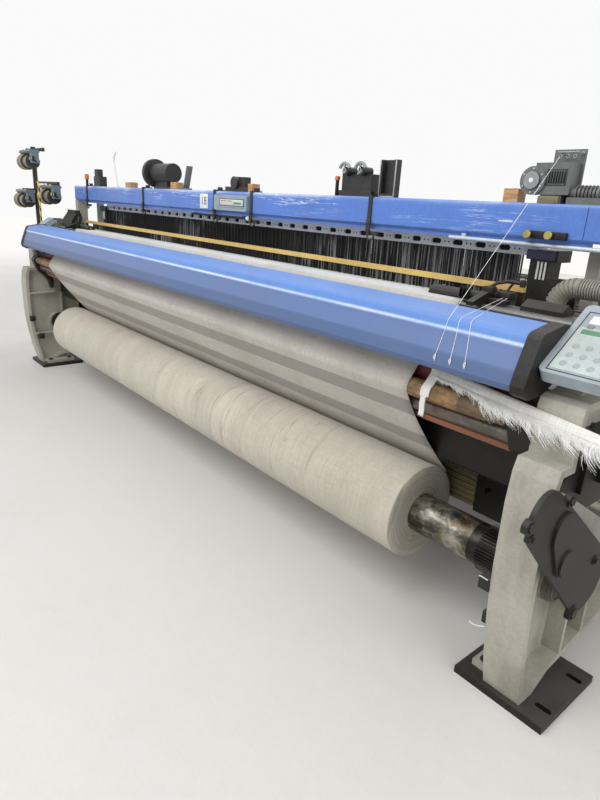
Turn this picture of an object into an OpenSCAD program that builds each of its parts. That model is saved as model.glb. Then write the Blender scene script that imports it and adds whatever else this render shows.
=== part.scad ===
// Wide rapier power loom: heights are above the floor and depths run back from the front feet.

/* [Side frames] */
// Clear width between the two side frames
frame_gap = 4250; // [4230:10:4400]
// Width of the cast flange round each side frame
flange_w = 121; // [110:1:135]
// Thickness of the cast flange
flange_t = 22; // [18:1:26]
// Thickness of the web inside the flange
web_t = 24; // [18:1:30]
// Depth of the pocket between the inner face and the web
pocket_d = 40; // [34:1:44]
// How far the front leg leans out in front of its foot
leg_lean = 73; // [65:1:80]
// Thickness of the floor plates
plate_t = 25; // [20:1:30]
// Width of the slots for the floor bolts
slot_w = 18; // [14:1:22]
// Length of the slots for the floor bolts
slot_l = 50; // [40:1:60]

/* [Weaving line] */
// Height of the cloth and the warp
warp_z = 1124; // [1119:1:1128]
// Depth of the fell, where warp becomes cloth
fell_y = 322; // [318:1:324]
// Thickness of the cloth and of the warp sheet
cloth_t = 3; // [2:0.5:4]
// Spacing of the dents, the healds and the warp strips
dent_pitch = 32; // [30:0.5:32.5]
// Number of warp strips between dents
strips = 107; // [101:2:107]
// Width of each warp strip
strip_w = 24; // [18:1:26]
// Width of one dent or one heald
wire_w = 2.4; // [1.6:0.2:3.2]

/* [Heald frames] */
// Thickness of a heald frame
heald_t = 9; // [8:0.5:10]
// Distance from one heald frame to the next
heald_step = 16; // [15:0.5:18]
// How far a heald frame reaches past the cloth at each end
heald_over = 86; // [80:1:92]
// Height of the slotted top rail
rail_h = 42; // [38:1:46]
// Height of the top of the frames at rest
rail_top = 1307; // [1302:1:1310]
// Spacing of the slots in the top rail
rail_slot_step = 98; // [90:1:110]

/* [Sley and reed] */
// Thickness of the reed's baulks
baulk_t = 16; // [14:1:18]
// Clear height of the reed between its baulks
reed_open = 110; // [104:1:112]
// How far the reed reaches past the cloth at each end
reed_over = 142; // [132:1:152]
// Radius of the rocking shaft
rocker_r = 45; // [40:1:48]
// Height of the rocking shaft
rocker_z = 600; // [595:1:605]
// Depth of the rocking shaft
rocker_y = 430; // [426:1:434]

/* [Rollers] */
// Radius of the cloth wound on the roll
roll_r = 175; // [150:1:185]
// Radius of the steel cloth beam
beam_r = 70; // [60:1:74]
// Radius of the take-up roller
take_r = 72; // [66:1:73]
// Radius of the press roller in front of it
press_r = 30; // [26:1:31]
// Radius of the round guard bar
bar_r = 25; // [20:1:25]
// Radius of the back rest roller
rest_r = 60; // [50:1:65]
// Radius of the yarn on the warp beam
yarn_r = 330; // [250:1:350]
// Radius of the warp beam's flanges
disc_r = 400; // [370:1:410]
// Radius of the journals of the large rollers
journal_r = 30; // [25:1:34]

/* [Front cover] */
// Thickness of the folded cover
cover_t = 3; // [2:0.5:4]
// Width of each end cap
cap_w = 40; // [30:1:50]

/* [Upper beam] */
// Depth of the beam's front face
beam_y = 385; // [380:1:390]
// Depth of the beam from front to back
beam_d = 75; // [65:1:80]
// Height of the beam's underside
beam_z = 1323; // [1318:1:1328]
// Height of the beam's front face
beam_h = 108; // [100:1:116]
// Half length of the beam
beam_half = 2190; // [2180:1:2200]

/* [Rapier drives] */
// Radius of the wheels that drive the rapier tapes
wheel_r = 300; // [280:1:305]
// Width of the rapier tape
tape_w = 32; // [28:1:36]

/* [Control panels] */
// Width of the right panel
panel_w = 200; // [180:1:220]
// Length of a panel up its slope
panel_l = 262; // [240:1:280]
// Thickness of a panel
panel_t = 38; // [32:1:44]
// Slope of the panels
panel_tilt = 34.6; // [30:0.1:38]

/* [Clearances] */
// Radial clearance of running journals
run_c = 0.05; // [0.03:0.01:0.1]
// Gap between cloth and the rollers under it
seat_gap = 0.3; // [0.2:0.05:0.5]

/* [Hidden] */

inner_x = frame_gap / 2;
outer_x = inner_x + flange_w;
web_x = inner_x + pocket_d;
web_end = web_x + web_t;
anchor_front = [50, 240];
anchor_mid = 760;
anchor_x = outer_x + 50;
plate_y = [-20, 300];
frame_top = 1040;
foot_rear = 1480;

roll_c = [150, 368];
take_c = [110, 915];
press_c = [18, 862];
bar_c = [49, 805];
rest_c = [1560, warp_z - cloth_t / 2 - seat_gap - rest_r];
warp_c = [1330, 560];
rocker_c = [rocker_y, rocker_z];

cloth_half = (strips - 1) * dent_pitch / 2 + strip_w / 2;
heald_half = cloth_half + heald_over;
reed_half = cloth_half + reed_over;
support_top = warp_z - cloth_t / 2 - seat_gap;
nose_r = 13;
nose_c = [212, support_top - nose_r];
roller_half = inner_x - 165;
reed_y = fell_y + 9;
reed_z = 1030;
heald_y = 485;
heald_low = 885;
rail_slot = [45, 19];
guide_x = heald_half - 12;
sley_half = reed_half + 30;
strip_end = 1290;
fine = 96;

// Place a piece measured from the front feet into the frame that starts at the floor bolts.
module at_origin() {
    translate([0, -anchor_mid, 0]) children();
}

// Extrude a profile of depth and height from x0 to x1.
module along_x(x0, x1) {
    translate([x0, 0, 0]) rotate([90, 0, 90]) linear_extrude(x1 - x0) children();
}

// Extrude a profile of width and height from y0 to y1.
module along_y(y0, y1) {
    translate([0, y1, 0]) rotate([90, 0, 0]) linear_extrude(y1 - y0) children();
}

module box(x, y, z) {
    translate([x[0], y[0], z[0]]) cube([x[1] - x[0], y[1] - y[0], z[1] - z[0]]);
}

module rod_x(c, r, x0, x1, fn = fine) {
    along_x(x0, x1) translate(c) circle(r, $fn = fn);
}

module rod_y(c, r, y0, y1, fn = fine) {
    along_y(y0, y1) translate(c) circle(r, $fn = fn);
}

module both_sides() {
    children();
    mirror([1, 0, 0]) children();
}

module rounded(w, h, r) {
    translate([r, 0]) square([w - 2 * r, h]);
    translate([0, r]) square([w, h - 2 * r]);
    for (x = [r, w - r], y = [r, h - r]) translate([x, y]) circle(r, $fn = 32);
}

module slot(l, w) {
    square([l - w, w], center = true);
    for (s = [-1, 1]) translate([s * (l - w) / 2, 0]) circle(w / 2, $fn = 32);
}

function unit(v) = v / norm(v);
function turn(v) = [-v[1], v[0]];
function polar(c, r, a) = c + r * [cos(a), sin(a)];
function arc(c, r, a0, a1, n) = [for (i = [0:n]) polar(c, r, a0 + (a1 - a0) * i / n)];
// The path of a sheet round a roller: straights that touch the circle from outside.
function wrap(c, r, a0, a1, n) =
    let (s = (a1 - a0) / n) concat(
        [polar(c, r, a0)],
        [for (i = [0:n - 1]) polar(c, r / cos(s / 2), a0 + (i + 0.5) * s)],
        [polar(c, r, a1)]
    );
function bezier(a, b, c, n) =
    [for (i = [0:n]) let (t = i / n) (1 - t) * (1 - t) * a + 2 * t * (1 - t) * b + t * t * c];

// The side direction at point i of an open path, scaled so that both edges stay parallel.
function mitre(p, i) =
    let (
        a = unit(p[min(i + 1, len(p) - 1)] - p[min(i, len(p) - 2)]),
        b = unit(p[max(i, 1)] - p[max(i - 1, 0)]),
        m = unit(a + b)
    ) turn(m) / (m * a);
function ribbon(p, t) = concat(
    [for (i = [0:len(p) - 1]) p[i] + mitre(p, i) * t / 2],
    [for (i = [len(p) - 1:-1:0]) p[i] - mitre(p, i) * t / 2]
);

// A closed outline moved inwards by d, for outlines listed clockwise.
function inset(p, d) = [
    for (i = [0:len(p) - 1])
        let (
            a = unit(p[(i + 1) % len(p)] - p[i]),
            b = unit(p[i] - p[(i + len(p) - 1) % len(p)]),
            m = unit(a + b)
        ) p[i] - turn(m) * d / (m * a)
];

// The direction square to the straight that touches two circles on one side.
function tangent(a, ra, b, rb, side) =
    let (
        u = unit(b - a),
        c = (ra - rb) / norm(b - a)
    ) c * u + side * sqrt(1 - c * c) * turn(u);

// Side frames: one casting each, a flange round a web with ribs and bearing bosses.
curve_top = 540;
function leg_front() = [
    for (i = [0:8])
        let (z = plate_t + i * (curve_top - plate_t) / 8)
            [-leg_lean * (1 - pow((curve_top - z) / (curve_top - plate_t), 2)), z]
];
function frame_outline() = concat(
    leg_front(),
    [[-leg_lean, 673], [10 - leg_lean, 760], [24 - leg_lean, 798], [4, 798], [4, 930]],
    [[12, 950], [32, 960], [130, 960], [130, frame_top]],
    [[1300, frame_top], [1390, 900], [1620, 900], [1650, 860], [1650, 700]],
    [[1540, 420], [foot_rear, 200], [foot_rear, plate_t], [1180, plate_t]],
    [[1110, 105], [930, 150], [700, 146], [475, 116], [150, 70], [70, plate_t]]
);

module boss(c, r) {
    rod_x(c, r, inner_x, web_end + 8);
}

module frame_rib(a, b, x0 = inner_x, x1 = outer_x) {
    along_x(x0, x1) polygon(ribbon([a, b], 14));
}

module side_frame() {
    lug = [inner_x - 62, inner_x + 1];
    difference() {
        union() {
            along_x(inner_x, outer_x) difference() {
                polygon(frame_outline());
                polygon(inset(frame_outline(), flange_t));
            }
            along_x(web_x, web_end) polygon(inset(frame_outline(), flange_t - 2));
            frame_rib([-62, 596], [194, 606], x1 = web_x + 1);
            frame_rib([-40, 268], [194, 272], x1 = web_x + 1);
            frame_rib([194, 84], [194, 946], x1 = web_x + 1);
            frame_rib([214, 90], [206, 300], x0 = web_end - 1);
            frame_rib([346, 108], [330, 560]);
            frame_rib([640, 140], [640, 1030]);
            frame_rib([1000, 140], [1000, 1030]);
            frame_rib([640, 620], [1000, 620]);
            frame_rib([1000, 300], [1530, 420]);
            frame_rib([1300, 420], [1300, 1030]);
            boss(roll_c, journal_r + 32);
            boss(take_c, journal_r + 24);
            boss(rocker_c, journal_r + 30);
            boss(warp_c, journal_r + 40);
            box(lug, [30, 240], [plate_t, plate_t + 22]);
            box(lug, [foot_rear - 230, foot_rear - 20], [plate_t, plate_t + 22]);
        }
        for (c = [roll_c, take_c, rocker_c, warp_c]) rod_x(c, journal_r + run_c, inner_x - 1, outer_x + 1);
    }
}

module side_frame_right() {
    color("#a8a59b") at_origin() side_frame();
}

module side_frame_left() {
    color("#a8a59b") at_origin() mirror([1, 0, 0]) side_frame();
}

// Floor plates: black steel, each with two slots for its floor bolts.
module foot_plate() {
    difference() {
        box([inner_x - 91, outer_x + 84], plate_y, [0, plate_t]);
        for (y = anchor_front) translate([anchor_x, y, -1]) linear_extrude(plate_t + 2) slot(slot_l, slot_w);
    }
}

module foot_plates() {
    color("#2c2b29") at_origin() both_sides() {
        foot_plate();
        translate([0, 2 * anchor_mid, 0]) mirror([0, 1, 0]) foot_plate();
    }
}

// Cross members between the frames.
cross_end = inner_x - 335;
module cross_member_front() {
    color("#8a8062") at_origin() along_x(-cross_end, cross_end) difference() {
        translate([345, 368]) square([80, 120]);
        for (z = [380, 402, 424, 446, 468]) translate([344, z]) square([9, 10]);
        translate([365, 380]) square([52, 96]);
    }
}

module cross_member_brackets() {
    color("#1f1e1d") at_origin() both_sides() difference() {
        union() {
            box([cross_end, inner_x], [351, 419], [350, 506]);
            box([cross_end, cross_end + 104], [357, 413], [506, 538]);
            box([inner_x - 20, inner_x], [330, 470], [340, 520]);
        }
        rod_y([cross_end + 52, 446], 17, 340, 430, 48);
        box([cross_end + 120, inner_x - 30], [370, 420], [366, 490]);
    }
}

harness_z = [730, 780];
module lower_cross_members() {
    color("#8d8c86") at_origin() {
        box([-web_x, web_x], [680, 760], [200, 320]);
        box([-web_x, web_x], [1380, 1440], [60, 130]);
        difference() {
            box([-web_x, web_x], [heald_y - 7, heald_y + 3 * heald_step + 16], harness_z);
            for (i = [0:3], s = [-1, 1])
                translate([s * rod_place, heald_mid(i), 0]) cylinder(h = 2000, r = pull_r + run_c, $fn = 32);
        }
    }
}

// Breast beam: carries the cloth from the fell to its rounded front edge.
module breast_beam() {
    half = cover_end - 5;
    color("#77767a") at_origin() {
        along_x(-half, half) polygon([
            [204, 1002], [286, 1002], [286, 1052], [fell_y - 28, support_top - 16],
            [fell_y - 28, support_top], [nose_c[0], support_top], [nose_c[0] - 8, support_top - 23],
            [204, 1050]
        ]);
        rod_x(nose_c, nose_r, -half, half);
        box([-inner_x, inner_x], [204, 286], [1002, frame_top]);
    }
}

// Front cover: one folded sheet between two plastic end caps.
function cover_path() = concat(
    [[-46, 958], [-72, 968], [-77, 982], [-68, 1011], [-47, 1064]],
    arc([-13, 1091], 24, 165, 100, 5),
    [[69, 1128]]
);
cover_end = inner_x - cap_w;

module front_cover() {
    color("#6f8bd0") at_origin() along_x(-cover_end, cover_end) polygon(ribbon(cover_path(), cover_t));
}

module cover_end_caps() {
    outer = cover_t / 2 + 2;
    color("#1c1c1e") at_origin() both_sides() along_x(cover_end, inner_x) difference() {
        polygon(concat(
            [[-50, 948], [-76, 962], [-82, 984], [-73, 1014], [-52, 1067]],
            arc([-13, 1091], 24 + outer, 165, 100, 6),
            [[70, 1133], [112, 1128], [150, frame_top], [150, 1012], [110, 1002], [20, 952]]
        ));
        translate([20, 1040]) circle(22, $fn = 48);
    }
}

// Cloth: from the fell over the nose and the rollers to the back of the roll.
cloth_off = cloth_t / 2 + seat_gap;
take_n = tangent(take_c, take_r + cloth_off, press_c, press_r + cloth_off, -1);
nose_n = tangent(nose_c, nose_r + cloth_off, take_c, take_r + cloth_off, -1);
exit_a = 210;
entry_a = 45;
exit_point = polar(press_c, press_r + cloth_off, exit_a);
entry_point = polar(roll_c, roll_r + cloth_off, entry_a);
function angle(v) = let (a = atan2(v[1], v[0])) a < 0 ? a + 360 : a;
function meet(a, u, b, v) =
    let (w = b - a, d = u[0] * v[1] - u[1] * v[0]) a + u * (w[0] * v[1] - w[1] * v[0]) / d;
function cloth_path() =
    let (bend = meet(exit_point, [-sin(exit_a), cos(exit_a)], entry_point, [-sin(entry_a), cos(entry_a)]))
        concat(
            [[fell_y, warp_z]],
            wrap(nose_c, nose_r + cloth_off, 90, angle(nose_n), 6),
            wrap(take_c, take_r + cloth_off, angle(nose_n), angle(take_n), 6),
            wrap(press_c, press_r + cloth_off, angle(take_n), exit_a, 6),
            [for (i = [1:12]) bezier(exit_point, bend, entry_point, 12)[i]]
        );

module cloth_sheet() {
    color("#cfc8bd") at_origin() along_x(-cloth_half, cloth_half) polygon(ribbon(cloth_path(), cloth_t));
}

bracket_in = inner_x - 65;
module cloth_guard_bar() {
    color("#77736c") at_origin() rod_x(bar_c, bar_r, -bracket_in, bracket_in);
}

module guard_strip() {
    color("#b5713f") at_origin() along_x(-bracket_in, bracket_in)
        polygon(ribbon([[66, 768], [88, 742]], 5));
}

module roller_brackets() {
    color("#1d1c1b") at_origin() both_sides() difference() {
        union() {
            along_x(bracket_in, inner_x) polygon([
                [-6, 832], [-16, 862], [-4, 884], [18, 892], [60, 880], [84, 820], [104, 768], [124, 700],
                [120, 650], [104, 640], [92, 700], [60, 738], [20, 776]
            ]);
        }
        rod_x(press_c, journal_2 + run_c, bracket_in - 1, inner_x + 1);
    }
}

// Upper beam: a blue box section with a grey lip under it, hook straps and a display.
module upper_beam() {
    z1 = beam_z + beam_h;
    y1 = beam_y + beam_d;
    color("#6a8dcb") at_origin() difference() {
        union() {
            along_x(-beam_half, beam_half) polygon([
                [beam_y, beam_z + 8], [beam_y + 8, beam_z], [y1 - 8, beam_z], [y1, beam_z + 8],
                [y1, z1 - 8], [y1 - 8, z1], [beam_y + 8, z1], [beam_y, z1 - 8]
            ]);
            box([35 - inner_x, inner_x - 135], [beam_y + 14, beam_y + 50], [beam_z - 14, beam_z]);
        }
        box([1977, 1980], [beam_y - 1, beam_y + 3], [beam_z - 1, z1 + 1]);
    }
}

strap_xs = [-1920, -945, -66, 281, 1105];
module beam_straps() {
    y = beam_y;
    z1 = beam_z + beam_h;
    color("#222326") at_origin() for (x = strap_xs) {
        box([x - 9, x + 9], [y - 6, y], [beam_z - 40, z1 + 7]);
        box([x - 9, x + 9], [y, y + 60], [z1, z1 + 7]);
        box([x - 9, x + 9], [y + 22, y + 44], [z1 + 7, z1 + 20]);
        box([x - 9, x + 46], [y, y + 12], [beam_z - 40, beam_z - 24]);
    }
}

module display_module() {
    color("#8fa0a8") at_origin() {
        along_y(beam_y - 16, beam_y) translate([-50, beam_z + 12]) rounded(306, 78, 8);
        box([-30, 236], [beam_y - 19, beam_y - 16], [beam_z + 28, beam_z + 74]);
    }
}

rail_y = beam_y + 6;
module guard_rail() {
    z = beam_z - 17;
    color("#b9c3c6") at_origin() {
        rod_x([rail_y, z], 7, 1500, inner_x + 8, 32);
        for (x = [1560, 2080]) box([x - 8, x + 8], [rail_y - 5, rail_y + 7], [z, beam_z]);
    }
}

// Stands: posts that carry the upper beam and arms that carry the panels.
slope = tan(panel_tilt);
panel_low = [-18, 999];
function under_panel(y) = panel_low[1] + slope * (y - panel_low[0]);
module beam_stands() {
    color("#a9a698") at_origin() both_sides() {
        difference() {
            box([inner_x + 8, inner_x + 66], [beam_y, beam_y + beam_d], [frame_top, beam_z]);
            box([inner_x + 18, inner_x + 67], [beam_y + 10, beam_y + beam_d - 10], [frame_top + 20, beam_z - 20]);
        }
        along_x(inner_x + 36, inner_x + 84)
            polygon([
                [140, frame_top], [215, frame_top], [215, under_panel(215) - seat_gap],
                [140, under_panel(140) - seat_gap]
            ]);
        box([post_x, post_x + 40], [heald_y, heald_y + 45], [frame_top, beam_z - 18]);
    }
}

// Guides: grooved blocks in which the ends of the heald frames run.
post_x = heald_half + 168;
function heald_mid(i) = heald_y + i * heald_step + heald_t / 2;
module heald_guides() {
    y = [heald_y - 14, heald_y + 3 * heald_step + heald_t + 14];
    color("#202021") at_origin() both_sides() {
        difference() {
            box([guide_x, guide_x + 62], y, [905, 1252]);
            for (i = [0:3])
                box([guide_x - 1, heald_half + 2],
                    [heald_mid(i) - heald_t / 2 - 0.5, heald_mid(i) + heald_t / 2 + 0.5], [800, 1400]);
        }
        box([guide_x + 20, guide_x + 92], [y[0] - 8, y[1]], [1252, 1290]);
        box([guide_x + 62, inner_x], [heald_y, heald_y + 60], [frame_top - 60, frame_top]);
    }
}

pull_r = 6;
rod_place = 1200;
rod_l = 200;
function wires() = [for (i = [0:strips]) (i - strips / 2) * dent_pitch];

module heald_frame(i) {
    y0 = heald_mid(i) - heald_t / 2;
    low = heald_low + 40;
    high = rail_top - rail_h;
    count = floor((heald_half - 40) / rail_slot_step);
    along_y(y0, y0 + heald_t) difference() {
        translate([-heald_half, heald_low]) square([2 * heald_half, rail_top - heald_low]);
        for (k = [-count:count])
            translate([k * rail_slot_step, rail_top - 23]) slot(rail_slot[0], rail_slot[1]);
        translate([-heald_half + 24, low]) square([heald_half - 24 + wires()[0] - wire_w / 2, high - low]);
        translate([wires()[strips] + wire_w / 2, low])
            square([heald_half - 24 - wires()[strips] - wire_w / 2, high - low]);
        for (k = [0:strips - 1]) translate([wires()[k] + wire_w / 2, low])
            square([dent_pitch - wire_w, high - low]);
    }
    for (s = [-1, 1]) translate([s * rod_place, heald_mid(i), heald_low - rod_l])
        cylinder(h = rod_l + 2, r = pull_r, $fn = 32);
}

module heald_frame_1() { color("#c3cacb") at_origin() heald_frame(0); }
module heald_frame_2() { color("#c3cacb") at_origin() heald_frame(1); }
module heald_frame_3() { color("#c3cacb") at_origin() heald_frame(2); }
module heald_frame_4() { color("#c3cacb") at_origin() heald_frame(3); }

// Sley: beam with a race board, swords on a rocking shaft, and the reed in its groove.
reed_in = reed_y;
reed_out = reed_y + 14;
module sley_beam() {
    color("#5d5f63") at_origin() along_x(-sley_half, sley_half) polygon([
        [308, 935], [386, 935], [386, 1020], [reed_out + 10, 1050], [reed_out, 1050], [reed_out, reed_z],
        [reed_in, reed_z], [reed_in, support_top - 20], [fell_y - 10, support_top - 24], [fell_y - 16, 1040]
    ]);
}

module sley_shaft() {
    color("#4a4b4e") at_origin() {
        rod_x(rocker_c, rocker_r, -inner_x + 5, inner_x - 5);
        both_sides() rod_x(rocker_c, journal_r, inner_x - 5, web_end);
        for (x = [-1600, -800, 0, 800, 1600]) {
            rod_x(rocker_c, rocker_r + 16, x - 22, x + 22);
            along_x(x - 14, x + 14)
                polygon([[390, 615], [450, 640], [384, 935], [326, 935]]);
        }
    }
}

module reed() {
    mid = (reed_in + reed_out) / 2;
    z0 = reed_z + 20;
    z1 = z0 + reed_open;
    color("#c9a24a") at_origin() {
        along_y(mid - 4, mid + 4) difference() {
            translate([-reed_half, z0 - 2]) square([2 * reed_half, reed_open + 4]);
            for (k = [0:strips - 1]) translate([wires()[k] + wire_w / 2, z0])
                square([dent_pitch - wire_w, reed_open]);
            translate([-reed_half + 20, z0]) square([reed_half - 20 + wires()[0] - wire_w / 2, reed_open]);
            translate([wires()[strips] + wire_w / 2, z0])
                square([reed_half - 20 - wires()[strips] - wire_w / 2, reed_open]);
        }
        box([-reed_half, reed_half], [reed_in, reed_out], [reed_z, z0]);
        box([-reed_half, reed_half], [mid - baulk_t / 2, mid + baulk_t / 2], [z1, z1 + 20]);
    }
}

// Warp: strips between the dents and healds, then one sheet over the back rest to the warp beam.
rest_n = tangent(rest_c, rest_r + cloth_off, warp_c, yarn_r + cloth_off, 1);
function warp_path() = concat(
    [[strip_end, warp_z]],
    wrap(rest_c, rest_r + cloth_off, 90, atan2(rest_n[1], rest_n[0]), 8),
    [polar(warp_c, yarn_r + cloth_off, angle(rest_n))]
);

module warp_sheet() {
    color("#d9d6cf") at_origin() {
        translate([0, 0, warp_z - cloth_t / 2]) linear_extrude(cloth_t) {
            for (k = [0:strips - 1])
                translate([wires()[k] + dent_pitch / 2 - strip_w / 2, fell_y])
                    square([strip_w, strip_end - fell_y]);
            translate([-cloth_half, strip_end - 20]) square([2 * cloth_half, 20]);
        }
        along_x(-cloth_half, cloth_half) polygon(ribbon(warp_path(), cloth_t));
    }
}

// Warp stop motion: two rows of drop wires on contact bars between side plates.
stop_half = cloth_half + 152;
stop_y = strip_end - 360;
module warp_stop_motion() {
    color("#6d6f70") at_origin() {
        both_sides() {
            box([stop_half - 12, stop_half], [stop_y, stop_y + 220], [990, 1150]);
            box([stop_half, inner_x], [stop_y + 70, stop_y + 150], [frame_top - 46, frame_top]);
        }
        for (y = [stop_y + 50, stop_y + 130]) {
            box([12 - stop_half, stop_half - 12], [y, y + 10], [1030, 1048]);
            box([12 - stop_half, stop_half - 12], [y, y + 10], [1134, 1146]);
            for (x = wires()) box([x - wire_w / 2, x + wire_w / 2], [y + 3, y + 7], [1048, 1134]);
        }
    }
}

module back_rest_brackets() {
    color("#8f8e87") at_origin() both_sides() difference() {
        union() {
            along_x(inner_x + 10, inner_x + 70)
                polygon([[1470, 900], [1610, 900], [1610, 1010], [1590, 1070], [1530, 1070], [1500, 1010]]);
            rod_x(rest_c, 52, inner_x - 6, inner_x + 70);
        }
        rod_x(rest_c, journal_2 + run_c, inner_x - 7, inner_x + 71);
    }
}

// Rollers and beams.
journal_2 = 20;
module cloth_roll() {
    steps = 14;
    turn_h = (roll_r - beam_r - seat_gap) / steps;
    wave = [3, 0, 4, 1, 5, 2, 0, 3, 1, 4, 0, 2, 5, 1];
    side = [for (i = [0:steps - 1], k = [0, 1]) [beam_r + seat_gap + (i + k) * turn_h, wave[i]]];
    color("#d6cec0") at_origin() translate([-cloth_half, roll_c[0], roll_c[1]]) rotate([90, 0, 90])
        rotate_extrude($fn = fine) polygon(concat(
            [for (p = side) [p[0], p[1]]],
            [for (i = [len(side) - 1:-1:0]) [side[i][0], 2 * cloth_half - side[i][1]]]
        ));
}

gear_in = inner_x - 144;
gear_out = inner_x - 25;
module cloth_beam() {
    teeth = 44;
    color("#8b857b") at_origin() {
        rod_x(roll_c, beam_r, -gear_in, gear_in);
        both_sides() {
            along_x(gear_in, gear_in + 70) translate(roll_c) polygon([
                for (i = [0:teeth - 1], k = [0:3])
                    polar([0, 0], beam_r + (k == 1 || k == 2 ? 8 : 1), (i + k / 4) * 360 / teeth)
            ]);
            rod_x(roll_c, beam_r - 12, gear_in + 70, gear_out);
            rod_x(roll_c, journal_r, gear_out, web_end + 20);
        }
    }
}

module take_up_roller() {
    color("#6b2f2c") at_origin() {
        rod_x(take_c, take_r, -roller_half, roller_half);
        both_sides() rod_x(take_c, journal_r, roller_half, web_end);
    }
}

module press_roller() {
    color("#a3845a") at_origin() {
        rod_x(press_c, press_r, -inner_x + 135, inner_x - 135);
        both_sides() {
            rod_x(press_c, press_r - 5, inner_x - 135, inner_x - 80);
            rod_x(press_c, journal_2, inner_x - 80, inner_x);
        }
    }
}

disc_x = cloth_half + 30;
module warp_beam() {
    color("#7d7f80") at_origin() {
        rod_x(warp_c, 110, -disc_x, disc_x);
        both_sides() {
            difference() {
                rod_x(warp_c, disc_r, disc_x, disc_x + 22);
                for (k = [0:5]) rod_x(polar(warp_c, 250, k * 60), 55, disc_x - 1, disc_x + 23, 48);
            }
            rod_x(warp_c, 80, disc_x + 22, inner_x - 40);
            rod_x(warp_c, 120, inner_x - 110, inner_x - 60);
            rod_x(warp_c, journal_r, inner_x - 40, web_end);
        }
    }
}

module warp_yarn() {
    color("#dcd9d0") at_origin() difference() {
        rod_x(warp_c, yarn_r, -disc_x + 2, disc_x - 2);
        rod_x(warp_c, 110 + seat_gap, -disc_x, disc_x);
    }
}

module back_rest_roller() {
    color("#9c9d9e") at_origin() {
        rod_x(rest_c, rest_r, -inner_x + 40, inner_x - 40);
        both_sides() rod_x(rest_c, journal_2, inner_x - 40, inner_x + 60);
    }
}

// Rapier drives: a wheel with its tape at each end, in an open housing.
wheel_y = 352;
wheel_c = [outer_x + 24 + wheel_r, warp_z + 20 - wheel_r];
module rapier_wheel() {
    difference() {
        rod_y(wheel_c, wheel_r, wheel_y - tape_w / 2, wheel_y + tape_w / 2);
        for (k = [0:5]) rod_y(polar(wheel_c, wheel_r * 0.58, k * 60 + 30), wheel_r * 0.2,
            wheel_y - 100, wheel_y + 100, 48);
    }
    rod_y(wheel_c, 60, wheel_y - tape_w / 2 - 14, wheel_y + tape_w / 2 + 14);
    rod_y(wheel_c, journal_r, wheel_y - 40, wheel_y + 70);
}

module rapier_housing() {
    ring = wheel_r + 5;
    difference() {
        union() {
            rod_y(wheel_c, ring + 10, wheel_y + 22, wheel_y + 34);
            difference() {
                rod_y(wheel_c, ring + 10, wheel_y - 24, wheel_y + 22);
                rod_y(wheel_c, ring, wheel_y - 25, wheel_y + 23);
                box([outer_x - 100, 4000], [wheel_y - 25, wheel_y + 21.9], [0, wheel_c[1]]);
            }
            box([web_end, wheel_c[0]], [wheel_y + 34, wheel_y + 64], [wheel_c[1] - 70, wheel_c[1] + 70]);
            rod_y(wheel_c, 75, wheel_y + 34, wheel_y + 64);
        }
        rod_y(wheel_c, journal_r + run_c, wheel_y, wheel_y + 100);
        rod_y(wheel_c, 61, wheel_y + 21, wheel_y + 31);
    }
}

guide_end = sley_half + 20;
module tape_guide() {
    box([guide_end, guide_end + 140], [300, 380], [frame_top - 100, support_top]);
    box([guide_end + 140, inner_x], [310, 370], [frame_top - 90, frame_top]);
}

module rapier_wheel_right() {
    color("#3c3e42") at_origin() rapier_wheel();
}

module rapier_wheel_left() {
    color("#3c3e42") at_origin() mirror([1, 0, 0]) rapier_wheel();
}

module rapier_housing_right() {
    color("#26272a") at_origin() {
        rapier_housing();
        tape_guide();
        along_x(guide_end + 5, guide_end + 135) polygon([
            [230, support_top], [300, support_top], [300, support_top + 13], [262, support_top + 33],
            [230, support_top + 13]
        ]);
        box([guide_end - 20, guide_end + 90], [390, 400], [support_top + 3, support_top + 88]);
        box([guide_end + 60, guide_end + 135], [380, 400], [frame_top, support_top + 3]);
    }
}

module rapier_housing_left() {
    color("#26272a") at_origin() mirror([1, 0, 0]) {
        rapier_housing();
        tape_guide();
        along_x(guide_end + 5, inner_x - 15) polygon([
            [230, support_top], [300, support_top], [330, 1190], [318, 1228], [286, 1228], [250, 1180]
        ]);
        box([guide_end + 30, inner_x - 35], [282, 322], [1228, 1246]);
    }
}

// Temples: hold the cloth at full width beside the fell.
module temples() {
    z = warp_z + cloth_t / 2 + seat_gap;
    color("#19191a") at_origin() both_sides() {
        difference() {
            along_x(cloth_half - 150, cloth_half + 60) polygon(concat(
                [[232, z], [288, z]], arc([260, z], 28, 10, 170, 8)
            ));
            rod_x([260, z + 10], 9, cloth_half - 151, cloth_half + 30, 48);
        }
        box([cloth_half + 12, cloth_half + 60], [200, 288], [support_top, z]);
        along_x(cloth_half + 60, cloth_half + 84) polygon([
            [150, support_top], [285, support_top], [285, z + 18], [230, z + 34], [150, z + 8]
        ]);
        box([cloth_half + 84, cloth_half + 150], [225, 249], [support_top + 6, z + 16]);
    }
}

// Air hose: a ribbed duct from the right rapier housing.
hose_c = [1960, 330];
hose_bend = 60;
module hose_run(length, ribs) {
    cylinder(h = length, r = 26, $fn = 48);
    for (k = [1:ribs]) translate([0, 0, k * 8]) cylinder(h = 4, r = 30, $fn = 48);
}

module air_hose() {
    ribs = 16;
    z = support_top + 16;
    color("#6f6d66") at_origin() {
        translate([hose_c[0], hose_c[1], support_top]) hose_run(16, 1);
        for (k = [0:ribs])
            let (a = k * 90 / ribs)
                translate([hose_c[0] + hose_bend * (1 - cos(a)), hose_c[1], z + hose_bend * sin(a)])
                    rotate([0, a, 0]) cylinder(h = 7, r = k % 2 == 0 ? 30 : 27, $fn = 48);
        translate([hose_c[0] + hose_bend, hose_c[1], z + hose_bend]) rotate([0, 90, 0]) hose_run(100, 11);
    }
}

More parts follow.
